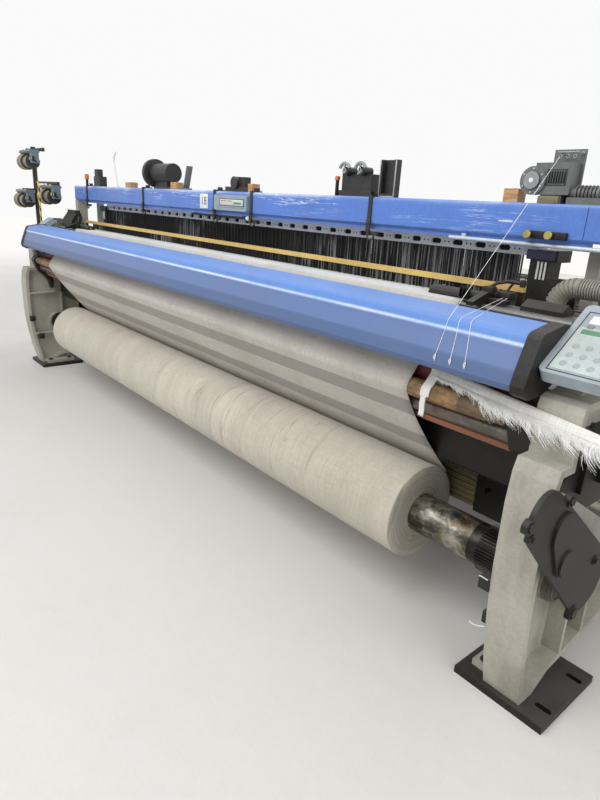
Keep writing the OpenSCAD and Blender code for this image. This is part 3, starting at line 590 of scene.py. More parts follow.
@dataclass(frozen=True)
class HealdAlloy(Finish):
    """Light rails above and below dark oiled healds."""

    wires: Colour = (0.035, 0.035, 0.037)
    low: float = 0.925
    high: float = 1.265

    def paint(self, w: Wiring) -> object:
        """Return rail colour outside the healds and dark steel between the rails.

        Args:
            w: Wiring of the material.

        Returns:
            The colour.
        """
        height = w.along(w.place(), 2)
        inside = w.math("MULTIPLY", w.math("GREATER_THAN", height, self.low),
                        w.math("LESS_THAN", height, self.high))
        return w.mix(inside, self.colour, self.wires)


@dataclass(frozen=True)
class HighlightedFilm(Finish):
    """Blue film drawn over the beam, with painted highlights along its creases and on the top above its upper
    edge.
    """

    # crease is the colour of the painted highlights.
    crease: Colour = (0.72, 0.84, 0.97)
    edge: float = 1.409

    def paint(self, w: Wiring) -> object:
        """Return painted highlights on creases along the beam that gather under its upper edge, and a painted
        highlight on the top above that edge.

        Args:
            w: Wiring of the material.

        Returns:
            The colour.
        """
        where = w.place()
        height = w.along(where, 2)
        bend = w.noise(w.scaled(where, (2.2, 8, 8)), 1.0, 3.0)
        streaks = w.noise(w.scaled(where, (2.4, 54, 54)), 1.0, 5.0, 0.6)
        thin = w.math("ABSOLUTE", w.math("SUBTRACT", streaks, 0.5))
        line = w.math("MULTIPLY", w.span(thin, 0.0, 0.02, 1.0, 0.0), w.span(bend, 0.46, 0.58))
        upper = w.span(height, self.edge - 0.06, self.edge, 0.3, 1.0)
        # A painted highlight on the beam's top, above its upper edge.
        glow = w.math("MULTIPLY", w.span(height, self.edge, self.edge + 0.02),
                      w.span(bend, 0.4, 0.6, 0.1, 0.55))
        pale = w.math("MAXIMUM", w.math("MULTIPLY", line, upper), glow)
        return w.mix(pale, self.colour, self.crease)


@dataclass(frozen=True)
class EnamelWithPaintedLight(Finish):
    """Enamel on the folded cover, with painted light and shade: brighter blue above the fold, a greyer front
    and a darker lower facet in painted shade.
    """

    # front and lower are painted shade: darker copies of the blue for the front face and for the lower facet
    # that faces down.
    front: Colour = (0.2, 0.25, 0.45)
    lower: Colour = (0.1, 0.15, 0.35)
    fold: float = 1.078
    crease: float = 1.019

    def paint(self, w: Wiring) -> object:
        """Return painted light and shade for each face by its height, with a painted highlight line along the
        fold.

        Args:
            w: Wiring of the material.

        Returns:
            The colour.
        """
        where = w.place()
        height = w.along(where, 2)
        under = w.span(height, self.crease - 0.004, self.crease + 0.004)
        face = w.mix(under, self.lower, self.front)
        above = w.span(height, self.fold - 0.008, self.fold + 0.006)
        body = w.mix(above, face, self.colour)
        # A painted highlight: a pale line along the fold where the lamps shine on it.
        off = w.math("ABSOLUTE", w.math("SUBTRACT", height, self.fold + 0.004))
        painted_fold_highlight = w.math("MULTIPLY", w.span(off, 0.0, 0.008, 1.0, 0.0),
                        w.span(w.noise(w.scaled(where, (3, 1, 1)), 1.0), 0.3, 0.6, 0.55, 0.9))
        return w.mix(painted_fold_highlight, body, (0.74, 0.84, 0.97))


@dataclass(frozen=True)
class OiledWire(Finish):
    """Dark oiled wires, with clusters of painted glints that make some wires pale."""

    # pale is the colour of the painted glints.
    pale: Colour = (0.42, 0.42, 0.43)

    def paint(self, w: Wiring) -> object:
        """Return clusters of painted glints among the dark wires, covering more of them towards the right.

        Args:
            w: Wiring of the material.

        Returns:
            The colour.
        """
        where = w.place()
        broad = w.span(w.noise(w.scaled(where, (2.6, 2, 3.5)), 1.0, 3.0), 0.48, 0.62)
        side = w.along(where, 0)
        # The painted glints spread over more wires towards the right.
        broad = w.math("MAXIMUM", broad, w.span(side, 0.2, 1.3, 0.0, 0.85))
        wires = w.span(w.noise(w.scaled(where, (150, 1, 3)), 1.0, 2.0), 0.5, 0.58)
        return w.mix(w.math("MULTIPLY", broad, wires), self.colour, self.pale)


@dataclass(frozen=True)
class StripedPaint(Finish):
    """Slanting warning stripes of two colours."""

    second: Colour = (0.01, 0.01, 0.01)
    pitch: float = 0.075

    def paint(self, w: Wiring) -> object:
        """Return the first colour crossed by slanting bars of the second.

        Args:
            w: Wiring of the material.

        Returns:
            The colour.
        """
        parts = w.add("ShaderNodeSeparateXYZ", {0: w.place()}).outputs
        slant = w.math("DIVIDE", w.math("ADD", parts[0], parts[2]), self.pitch)
        bar = w.math("GREATER_THAN", w.math("FRACT", slant), 0.62)
        return w.mix(bar, self.colour, self.second)


@dataclass(frozen=True)
class WoodGrain(Finish):
    """Small blocks of pale wood."""

    dark: Colour = (0.30, 0.17, 0.08)

    def paint(self, w: Wiring) -> object:
        """Return grain along the block."""
        grain = w.noise(w.scaled(w.place(), (12, 160, 220)), 1.0, 4.0)
        return w.mix(w.span(grain, 0.35, 0.7), self.colour, self.dark)


@dataclass(frozen=True)
class Woven(Finish):
    """Cloth with a plain weave and, where asked, woven bars across it, the creases of a wound roll in painted
    shade, or a painted sheen near the fell.
    """

    pitch: float = 0.0008
    bars: tuple[tuple[float, float, Colour], ...] = ()
    sheen: float = 0.2
    axis: Pair | None = None
    # How far along the cloth from the fell a painted sheen reaches.
    painted_sheen_reach: float = 0.0

    def wound(self, w: Wiring, tone: object) -> object:
        """Return the tone with painted shade along creases round the roll and darker turns on its ends.

        Args:
            w: Wiring of the material.
            tone: Colour of the plain cloth.

        Returns:
            The colour with its darker lines.
        """
        where = w.place()
        shade = tuple(part * 0.5 for part in self.colour)
        # Painted shade: thin dark lines where the cloth is creased round the roll.
        fold = w.noise(w.scaled(where, (11, 0.9, 0.9)), 1.0, 3.0)
        thin = w.math("ABSOLUTE", w.math("SUBTRACT", fold, 0.5))
        broad = w.span(w.noise(w.scaled(where, (1.6, 0.3, 0.3)), 1.0, 2.0), 0.4, 0.56)
        line = w.math("MULTIPLY", w.span(thin, 0.0, 0.012, 1.0, 0.0), broad)
        ring = w.noise(w.scaled(where, (5, 0.4, 0.4)), 1.0, 4.0)
        pale = w.math("MULTIPLY", w.span(ring, 0.5, 0.66), 0.3)
        tone = w.mix(pale, tone, tuple(min(1.0, part * 1.3) for part in self.colour))
        centre = w.add("ShaderNodeVectorMath", {0: where, 1: (0.0, self.axis[0], self.axis[1])},
                       operation="SUBTRACT")
        flat = w.add("ShaderNodeVectorMath", {0: centre.outputs[0], 1: (0.0, 1.0, 1.0)}, operation="MULTIPLY")
        reach = w.add("ShaderNodeVectorMath", {0: flat.outputs[0]}, operation="LENGTH").outputs["Value"]
        apart = w.add("ShaderNodeCombineXYZ", {0: w.math("MULTIPLY", reach, 240.0)}).outputs[0]
        turns = w.noise(apart, 1.0, 3.0)
        facing = w.along(w.add("ShaderNodeNewGeometry").outputs["Normal"], 0)
        ends = w.math("MULTIPLY", w.span(w.math("ABSOLUTE", facing), 0.8, 0.95), w.span(turns, 0.48, 0.62))
        dark = w.math("MAXIMUM", w.math("MULTIPLY", line, 0.7), w.math("MULTIPLY", ends, 0.8))
        return w.mix(dark, tone, shade)

    def make(self) -> bpy.types.Material:
        """Return cloth that reads its weave from the sheet's own map."""
        if self.name in MADE:
            return MADE[self.name]
        material, w, shader, grime = self.base()
        weave = w.add("ShaderNodeGroup", {"Pitch": self.pitch}, node_tree=Effect.plain_weave())
        sheet = w.add("ShaderNodeUVMap", uv_map="sheet").outputs[0]
        along = w.along(sheet, 1)
        darker = tuple(part * 0.78 for part in self.colour)
        tone: object = w.mix(w.span(weave.outputs["Slub"], 0.4, 0.62), self.colour, darker)
        for start, end, bar in self.bars:
            inside = w.math("MULTIPLY", w.span(along, start - 0.002, start + 0.002),
                            w.span(along, end - 0.002, end + 0.002, 1.0, 0.0))
            tone = w.mix(w.math("MULTIPLY", inside, 0.85), tone, bar)
        if self.axis is not None:
            tone = self.wound(w, tone)
        if self.painted_sheen_reach > 0:
            # A painted sheen: a whiter, bluish tone on the cloth from the fell up to that distance along it.
            new = w.span(along, self.painted_sheen_reach - 0.03, self.painted_sheen_reach + 0.01, 0.75, 0.0)
            tone = w.mix(new, tone, srgb(232, 238, 241))
        w.tree.links.new(tone, grime.inputs["Paint"])
        w.tree.links.new(grime.outputs["Color"], shader.inputs["Base Color"])
        shader.inputs["Roughness"].default_value = self.roughness
        shader.inputs["Sheen Weight"].default_value = self.sheen
        bump = w.add("ShaderNodeBump", {"Strength": self.bump, "Distance": 0.0006,
                                        "Height": weave.outputs["Height"]})
        w.tree.links.new(bump.outputs[0], shader.inputs["Normal"])
        return material


@dataclass(frozen=True)
class YarnLay(Finish):
    """Yarn laid side by side, with fine lines between the ends."""

    ends: float = 650.0

    def paint(self, w: Wiring) -> object:
        """Return slight changes of tone from end to end.

        Args:
            w: Wiring of the material.

        Returns:
            The colour.
        """
        lines = w.noise(w.scaled(w.place(), (self.ends, 2, 2)), 1.0, 2.0)
        darker = tuple(part * 0.6 for part in self.colour)
        return w.mix(w.span(lines, 0.35, 0.68), self.colour, darker)

    def relief(self, w: Wiring) -> object:
        """Return the same lines as height."""
        return w.noise(w.scaled(w.place(), (self.ends, 2, 2)), 1.0, 2.0)


GREASE = (0.025, 0.022, 0.018)
CASTING = Finish("painted_casting", srgb(176, 173, 161), 0.55, dirt=srgb(84, 76, 62), amount=0.42, dust=0.2,
                 size=4.0, bump=0.5)
BLACK_STEEL = Finish("black_steel", srgb(22, 21, 20), 0.48, 0.1, dirt=srgb(54, 48, 40), amount=0.24, dust=0.1,
                     specular=0.35)
OLIVE = Finish("olive_enamel", srgb(118, 108, 82), 0.45, dirt=GREASE, amount=0.4)
# The cover's front and lower colours are painted shade, and a painted highlight runs along its fold.
COVER_BLUE = EnamelWithPaintedLight("cover_enamel", srgb(96, 141, 212), 0.36, dirt=srgb(104, 108, 132), amount=0.2,
                          dust=0.08, size=2.0, bump=0.06, specular=0.3, front=srgb(96, 119, 166),
                          lower=srgb(78, 101, 142))
# The beam film's pale creases and its pale top are painted highlights.
BEAM_FILM = HighlightedFilm("beam_film", srgb(88, 128, 208), 0.32, dirt=srgb(74, 80, 108), amount=0.18, dust=0.1,
                     bump=0.1, coat=0.15, specular=0.35)
BLACK_PLASTIC = Finish("black_plastic", srgb(20, 19, 21), 0.5, dirt=srgb(70, 65, 58), amount=0.18, dust=0.08,
                       specular=0.35)
GREY_STEEL = Finish("grey_steel", srgb(110, 109, 108), 0.38, 0.7, dirt=GREASE, amount=0.3, dust=0.25)
BRIGHT_STEEL = Finish("bright_steel", srgb(184, 186, 186), 0.3, 0.9, dirt=srgb(70, 64, 56), amount=0.22,
                      dust=0.1)
CLOTH_TUBE = MottledMetal("cloth_tube", srgb(66, 63, 55), 0.28, 0.75, dirt=GREASE, amount=0.35, dust=0.0,
                          worn=srgb(168, 164, 150), bright_half=1.943)
TAKE_UP = TurnedMetal("take_up_rubber", srgb(96, 44, 40), 0.62, dirt=GREASE, amount=0.3, dust=0.0, bump=0.5)
WOUND = WoundCover("press_roller_winding", srgb(158, 124, 80), 0.55, dirt=srgb(50, 40, 28), amount=0.35,
                   dust=0.0, second=srgb(108, 84, 52))
ALLOY = HealdAlloy("heald_alloy", srgb(240, 244, 246), 0.5, dirt=srgb(110, 110, 106), amount=0.1, dust=0.1,
                   wires=srgb(34, 34, 36))
# The heald wires' pale clusters are painted glints.
WIRE = OiledWire("heald_wire", srgb(30, 30, 32), 0.5, 0.1, dirt=GREASE, amount=0.2, dust=0.0, specular=0.3)
REED_GOLD = HealdAlloy("reed_brass", srgb(226, 194, 116), 0.42, 0.1, dirt=srgb(96, 78, 44), amount=0.25,
                       dust=0.0, wires=srgb(22, 21, 20), low=1.049, high=1.161)
PANEL = Finish("panel_plastic", srgb(160, 172, 180), 0.42, dirt=srgb(104, 108, 108), amount=0.28, dust=0.08,
               bump=0.12, specular=0.35)
KEYPAD = Finish("keypad_print", srgb(190, 202, 200), 0.4, dirt=srgb(128, 132, 128), amount=0.3, dust=0.04,
                bump=0.06, specular=0.35)
MARK_GREEN = Finish("mark_green", srgb(88, 152, 112), 0.4, dust=0.05)
MARK_GREY = Finish("mark_grey", srgb(136, 144, 146), 0.45, dust=0.05)
KEY_GREY = Finish("key_grey", srgb(162, 172, 173), 0.45, dirt=srgb(110, 114, 112), amount=0.2, dust=0.05)
MARK_DARK = Finish("mark_dark", srgb(44, 46, 50), 0.5, dust=0.05)
MARK_WHITE = Finish("mark_white", srgb(232, 234, 232), 0.5, dirt=srgb(150, 150, 146), amount=0.12, dust=0.05)
MARK_RED = Finish("mark_red", srgb(196, 96, 84), 0.45, dust=0.05)
YELLOW = Finish("yellow_plastic", srgb(226, 190, 60), 0.4, dust=0.1)
WARNING = StripedPaint("warning_stripes", srgb(230, 192, 52), 0.42, dirt=srgb(90, 74, 30), amount=0.2,
                       dust=0.05)
ORANGE = Finish("orange_plastic", srgb(222, 112, 54), 0.42, dust=0.1)
GUARD_ORANGE = Finish("guard_strip", srgb(164, 108, 76), 0.5, dirt=GREASE, amount=0.3)
HOSE = Finish("ribbed_hose", srgb(140, 136, 126), 0.5, dirt=GREASE, amount=0.3)
CASE_IRON = Finish("gear_case_iron", srgb(150, 149, 142), 0.5, 0.1, dirt=srgb(60, 54, 44), amount=0.5,
                   dust=0.1, bump=0.8)
COVER_BLACK = Finish("gear_cover_plastic", srgb(19, 18, 19), 0.46, dirt=srgb(62, 56, 50), amount=0.2,
                     dust=0.06, bump=0.12, specular=0.35)
DARK = Finish("dark_enamel", srgb(30, 31, 34), 0.42, 0.1, dirt=srgb(84, 78, 70), amount=0.25, dust=0.12)
MID_GREY = Finish("device_grey", srgb(112, 115, 115), 0.4, 0.2, dirt=GREASE, amount=0.35, dust=0.2)
FEEDER = Finish("feeder_plastic", srgb(104, 120, 130), 0.42, dirt=srgb(60, 62, 62), amount=0.3, dust=0.3)
MOTOR = Finish("motor_enamel", srgb(92, 106, 112), 0.45, 0.1, dirt=GREASE, amount=0.4, dust=0.3)
WOOD = WoodGrain("pale_wood", srgb(206, 160, 116), 0.6, dirt=srgb(110, 84, 58), amount=0.2, dust=0.1)
BRASS = Finish("brass", srgb(196, 182, 112), 0.3, 0.85, dirt=srgb(80, 66, 34), amount=0.3, dust=0.0)
YARN = YarnLay("sized_yarn", srgb(232, 230, 222), 0.8, dirt=srgb(180, 174, 160), amount=0.15, dust=0.0,
               bump=0.9)
# The rolled cloth carries painted shade along its creases.
ROLLED = Woven("rolled_cloth", srgb(204, 197, 182), 0.85, dirt=srgb(128, 120, 106), amount=0.2, dust=0.0,
               size=2.0, bump=0.45, axis=((LOOM.roll[0] - FRONT_FEET) * MM, LOOM.roll[1] * MM))
TAPE = Woven("tape_cloth", srgb(236, 236, 230), 0.85, dirt=srgb(190, 186, 176), amount=0.15, dust=0.0)
BAR_STEEL = MottledMetal("guard_bar_steel", srgb(84, 80, 75), 0.4, 0.4, dirt=GREASE, amount=0.3, dust=0.05,
                         worn=srgb(112, 107, 98), olive=srgb(88, 84, 74))
DISPLAY_CASE = Finish("display_case", srgb(150, 166, 176), 0.4, dirt=srgb(96, 100, 104), amount=0.25,
                      dust=0.2, bump=0.12)
DISPLAY_GLASS = Finish("display_window", srgb(198, 208, 206), 0.15, dirt=srgb(150, 156, 156), amount=0.15,
                       dust=0.1, bump=0.02, coat=0.6)
SPIN_STEEL = Finish("turned_steel", srgb(110, 109, 108), 0.38, 0.6, dirt=GREASE, amount=0.3, dust=0.0)
SPIN_DARK = Finish("turning_dark", srgb(40, 41, 44), 0.42, 0.1, dirt=srgb(84, 78, 70), amount=0.25, dust=0.0)
# Black for painted shade: it fills the slots and holes of the front frame's rail.
SLOT_SHADE_PAINT = Finish("slot_painted_shade", srgb(20, 20, 21), 0.6, dust=0.0, specular=0.2)
HANDLE_GREY = Finish("handle_grey", srgb(150, 154, 156), 0.42, 0.2, dirt=GREASE, amount=0.25, dust=0.1)
RAIL_STEEL = Finish("rail_steel", srgb(196, 206, 214), 0.36, 0.2, dirt=srgb(90, 88, 84), amount=0.2,
                    dust=0.05)
TIED = Finish("knotted_yarn", srgb(232, 232, 226), 0.85, dirt=srgb(170, 166, 156), amount=0.3, dust=0.0)
MARK_BLUE = Finish("mark_purple", srgb(70, 66, 96), 0.45, dust=0.15)
RUBBER_FOOT = Finish("olive_foot", srgb(122, 116, 84), 0.5, dirt=GREASE, amount=0.3)
BAR_BROWN, BAR_GREY = srgb(146, 134, 130), srgb(140, 138, 132)
WHITE_TUBE = Finish("white_tube", srgb(226, 226, 220), 0.4, dirt=srgb(150, 146, 136), amount=0.25, dust=0.1)
FLOOR = Finish("floor_paint", srgb(214, 212, 208), 0.6, dirt=srgb(196, 194, 188), amount=0.2, dust=0.0,
               size=1.2, bump=0.05)
DRUM_YARN = Finish("drum_yarn", srgb(150, 150, 144), 0.85, dirt=srgb(70, 68, 62), amount=0.5, dust=0.0,
                   size=30.0)
LINT = Finish("lint", srgb(252, 252, 250), 0.9, dirt=srgb(226, 222, 214), amount=0.1, dust=0.0)


def thicken(piece: Piece, wall: float) -> None:
    """Give a sheet its thickness in metres, half of it to each side.

    Args:
        piece: The sheet.
        wall: Its thickness.
    """
    solid = piece.modifiers.new("thickness", "SOLIDIFY")
    solid.thickness = wall
    solid.offset = 0.0


def from_curve(name: str, curve: bpy.types.Curve, finish: Finish, place: Matrix) -> Piece:
    """Make a piece of the machine from a curve.

    Args:
        name: Name of the piece.
        curve: The curve, with its thickness.
        finish: Its finish.
        place: Move from the curve's own place to the frame.

    Returns:
        The piece.
    """
    maker = bpy.data.objects.new("maker", curve)
    link(maker)
    bpy.context.view_layer.update()
    mesh = bpy.data.meshes.new_from_object(maker)
    bpy.data.objects.remove(maker)
    mesh.transform(place)
    mesh.materials.clear()
    mesh.materials.append(finish.make())
    piece = bpy.data.objects.new(name, mesh)
    link(piece)
    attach(piece, "machine")
    return piece


def mirrored(side: int, near: float, far: float) -> Pair:
    """Return sideways limits on one side of the middle, the lower one first."""
    return min(side * near, side * far), max(side * near, side * far)


def dress(finish: Finish, *nodes: str) -> None:
    """Give a finish to solids of the frame.

    Args:
        finish: The finish.
        *nodes: Names of the solids.
    """
    material = finish.make()
    for node in nodes:
        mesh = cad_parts[node].data
        mesh.materials.clear()
        mesh.materials.append(material)
        LOG.info("%s is finished as %s", node, finish.name)


class Castings:
    """Finishes of the loom's own solids."""

    def build(self) -> None:
        """Finish every solid that is left as it is."""
        dress(CASTING, "side_frame_right", "side_frame_left", "beam_stands")
        dress(BLACK_STEEL, "foot_plates", "cross_member_brackets", "roller_brackets", "temples")
        dress(OLIVE, "cross_member_front", "lower_cross_members", "back_rest_brackets")
        dress(COVER_BLUE, "front_cover")
        dress(BEAM_FILM, "upper_beam")
        dress(GREY_STEEL, "breast_beam", "sley_shaft", "sley_beam", "warp_stop_motion")
        dress(SPIN_STEEL, "back_rest_roller", "warp_beam")
        dress(BAR_STEEL, "cloth_guard_bar")
        dress(BLACK_PLASTIC, "cover_end_caps", "heald_guides", "rapier_housing_left", "rapier_housing_right")
        dress(DARK, "beam_straps", "selvedge_drive_left", "selvedge_drive_mid", "feeder_stand")
        dress(MID_GREY, "selvedge_drive_right")
        dress(DISPLAY_CASE, "display_module")
        dress(RAIL_STEEL, "guard_rail")
        dress(GUARD_ORANGE, "guard_strip")
        dress(HOSE, "air_hose")
        dress(CASE_IRON, "gear_case")
        dress(COVER_BLACK, "gear_cover")
        dress(PANEL, "control_panel_right", "control_panel_left")
        dress(KEYPAD, "keypads")
        dress(FEEDER, "weft_feeders")
        dress(SPIN_DARK, "feeder_disc_1", "feeder_disc_2", "feeder_disc_3", "leno_disc")
        dress(WOOD, "wooden_blocks")
        dress(MOTOR, "drive_motor")
        dress(REED_GOLD, "reed")
        dress(ALLOY, "heald_frame_1", "heald_frame_2", "heald_frame_3", "heald_frame_4")
        dress(CLOTH_TUBE, "cloth_beam")
        dress(TAKE_UP, "take_up_roller")
        dress(WOUND, "press_roller")
        dress(SPIN_DARK, "rapier_wheel_right", "rapier_wheel_left")


def polar(centre: Pair, radius: float, degrees: float) -> Pair:
    """Return the point of a circle at an angle."""
    turn = math.radians(degrees)
    return centre[0] + radius * math.cos(turn), centre[1] + radius * math.sin(turn)


def touching(first: Pair, first_radius: float, second: Pair, second_radius: float, side: int) -> float:
    """Return the angle at which a straight touches two circles.

    Args:
        first: Centre of the first circle.
        first_radius: Its radius.
        second: Centre of the second circle.
        second_radius: Its radius.
        side: Side of the line of centres on which the straight runs.

    Returns:
        The angle in degrees from 0 to 360.
    """
    ahead = Vector((second[0] - first[0], second[1] - first[1]))
    share = (first_radius - second_radius) / ahead.length
    ahead.normalize()
    across = Vector((-ahead.y, ahead.x))
    point = share * ahead + side * math.sqrt(1 - share * share) * across
    return math.degrees(math.atan2(point.y, point.x)) % 360


def round_arc(centre: Pair, radius: float, start: float, end: float, steps: int) -> Profile:
    """Return points along an arc."""
    return [polar(centre, radius, start + (end - start) * i / steps) for i in range(steps + 1)]


@dataclass
class ClothPath:
    """The way of the cloth from the fell over the rollers to the roll."""

    gap: float = 1.8
    fell_step: float = 22.0
    free_steps: int = 24
    leave_press: float = 210.0
    meet_roll: float = 45.0

    def points(self) -> Profile:
        """Return depth and height along the cloth."""
        nose, take, press = (radius + self.gap for radius in
                             (LOOM.nose_radius, LOOM.take_up_radius, LOOM.press_radius))
        leave_nose = touching(LOOM.nose, nose, LOOM.take_up, take, -1)
        leave_take = touching(LOOM.take_up, take, LOOM.press, press, -1)
        first = Vector(polar(LOOM.press, press, self.leave_press))
        last = Vector(polar(LOOM.roll, LOOM.roll_radius + self.gap, self.meet_roll))
        down, back = Vector((0.5, -math.cos(math.pi / 6))), Vector((-math.sqrt(0.5), math.sqrt(0.5)))
        gap = last - first
        bend = first + down * (gap.x * back.y - gap.y * back.x) / (down.x * back.y - down.y * back.x)
        free = [first * (1 - t) ** 2 + bend * (2 * t * (1 - t)) + last * t * t
                for t in (i / self.free_steps for i in range(1, self.free_steps + 1))]
        return (
            [(LOOM.fell, LOOM.warp_height)]
            + [(LOOM.fell - i * self.fell_step, LOOM.warp_height) for i in range(1, 5)]
            + round_arc(LOOM.nose, nose, 90.0, leave_nose, 8)
            + round_arc(LOOM.take_up, take, leave_nose, leave_take, 8)
            + round_arc(LOOM.press, press, leave_take, self.leave_press, 10)
            + [(point.x, point.y) for point in free]
        )

    def lengths(self, points: Profile) -> list[float]:
        """Return how far along the cloth each point lies.

        Args:
            points: Depth and height along the cloth.

        Returns:
            The distances in metres.
        """
        total, out = 0.0, [0.0]
        for first, second in zip(points, points[1:]):
            total += math.dist(first, second) * MM
            out.append(total)
        return out


@dataclass
class WovenCloth:
    """The cloth between the fell and the roll, with two woven bars."""

    columns: int = 84
    ripple: float = 1.1
    thick: float = 0.0012
    bars: tuple[Pair, ...] = ((815.0, 754.0), (668.0, 611.0))

    def finish(self, points: Profile, lengths: list[float]) -> Woven:
        """Return the cloth's finish with its bars where they lie on the free stretch, and a painted sheen
        near the fell.

        Args:
            points: Depth and height along the cloth.
            lengths: Distance along the cloth at each point.

        Returns:
            The finish.
        """
        free = [(height, length) for (_, height), length in zip(points, lengths)][-ClothPath.free_steps - 1:]

        def at(height: float) -> float:
            """Return where along the cloth a height lies.

            Args:
                height: The height, in millimetres.

            Returns:
                The distance in metres.
            """
            for (upper, start), (lower, end) in zip(free, free[1:]):
                if upper >= height >= lower:
                    return start + (end - start) * (upper - height) / (upper - lower)
            return free[-1][1]

        bands = tuple((at(high), at(low), colour)
                      for (high, low), colour in zip(self.bars, (BAR_BROWN, BAR_GREY)))
        return Woven("grey_cloth", srgb(206, 200, 192), 0.85, dirt=srgb(128, 122, 112), amount=0.22, dust=0.0,
                     size=2.5, bump=0.5, bars=bands, painted_sheen_reach=0.125)

    def build(self) -> Piece:
        """Return the sheet of cloth."""
        path = ClothPath()
        points = path.points()
        lengths = path.lengths(points)
        shape = Shape()
        half = LOOM.cloth_half
        shape.strip(points, (-half, half), self.columns)
        low = LOOM.press[1] - 40
        for vert in shape.bm.verts:
            if low > vert.co.z > LOOM.roll[1] + 140:
                edge = min(1.0, (low - vert.co.z) / 80, (vert.co.z - LOOM.roll[1] - 140) / 60)
                waves = math.sin(vert.co.x / 93) + math.sin(vert.co.x / 41 + vert.co.z / 60)
                vert.co.y += self.ripple * edge * waves
        piece = shape.finish("woven_cloth", self.finish(points, lengths).make(), "machine", "cloth")
        thicken(piece, self.thick)
        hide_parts("cloth_sheet")
        return piece


@dataclass
class Packages:
    """Cloth wound on the roll, yarn wound on the warp beam, and the warp between them."""

    rings: int = 150
    threads: int = 7
    thread_radius: float = 0.7
    steps: int = 72
    seed: int = 18
    tube_radius: float = 70.6
    beam_radius: float = 110.4
    gap: float = 1.8

    def wound_cloth(self) -> Piece:
        """Return the cloth wound on its beam, with faint ridges round it."""
        chance = random.Random(self.seed)
        half, top, core = LOOM.cloth_half, LOOM.roll_radius, self.tube_radius
        profile = [(-half + 3, core), (-half + 4, 110.0), (-half, 140.0), (-half + 3, top - 6)]
        level = 0.0
        for i in range(self.rings + 1):
            level = 0.75 * level + chance.uniform(-0.45, 0.45)
            x = -half + 6 + (2 * half - 12) * i / self.rings
            profile.append((x, top - 1.2 + max(-1.2, min(1.2, level))))
        profile += [(half - 3, top - 6), (half, 140.0), (half - 4, 110.0), (half - 3, core)]
        shape = Shape()
        shape.turned(profile, LOOM.roll, self.steps)
        for face in shape.bm.faces:
            middle = face.calc_center_median()
            base = math.atan2(middle.z - LOOM.roll[1], middle.y - LOOM.roll[0])
            for loop in face.loops:
                place = loop.vert.co
                turn = math.atan2(place.z - LOOM.roll[1], place.y - LOOM.roll[0])
                turn += math.tau * round((base - turn) / math.tau)
                loop[shape.uv].uv = ((place.x + half) * MM, turn * top * MM)
        piece = shape.finish("wound_cloth", ROLLED.make(), "cloth_roll", "cloth")
        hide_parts("cloth_roll")
        return piece

    def wound_yarn(self) -> Piece:
        """Return the yarn on the warp beam."""
        half = LOOM.cloth_half + 28
        shape = Shape()
        chance = random.Random(self.seed + 1)
        profile = [(-half, self.beam_radius)] + [
            (-half + 2 * half * i / 60, LOOM.yarn_radius - 1 + chance.uniform(-1, 1)) for i in range(61)
        ] + [(half, self.beam_radius)]
        shape.turned(profile, LOOM.warp_beam, self.steps)
        piece = shape.finish("wound_yarn", YARN.make(), "warp_beam", "yarn")
        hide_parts("warp_yarn")
        return piece

    def warp(self) -> Piece:
        """Return the warp: threads between the dents, then one dense sheet to the warp beam."""
        shape = Shape()
        spread = LOOM.strip_width / self.threads
        long = LOOM.strip_end - LOOM.fell
        for strip in range(LOOM.strips):
            middle = (strip - (LOOM.strips - 1) / 2) * LOOM.dent_pitch
            for i in range(self.threads):
                x = middle + (i + 0.5) * spread - LOOM.strip_width / 2
                shape.rod((x, LOOM.fell, LOOM.warp_height), long, self.thread_radius, Along.Y, sides=4)
        rest = LOOM.rest_radius + self.gap
        leave = touching(LOOM.rest, rest, LOOM.warp_beam, LOOM.yarn_radius + self.gap, 1)
        last = leave - 360 if leave > 180 else leave
        path = [(LOOM.strip_end - 20, LOOM.warp_height)] + round_arc(LOOM.rest, rest, 90.0, last, 10)
        path.append(polar(LOOM.warp_beam, LOOM.yarn_radius + self.gap, leave))
        lower = [(y, z - 0.9) for y, z in reversed(path)]
        half = LOOM.cloth_half
        shape.prism(path + lower, (-half, half))
        piece = shape.finish("warp_threads", YARN.make(), "machine", "yarn")
        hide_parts("warp_sheet")
        return piece

    def build(self) -> list[Piece]:
        """Return the wound cloth, the wound yarn and the warp."""
        return [self.wound_cloth(), self.wound_yarn(), self.warp()]


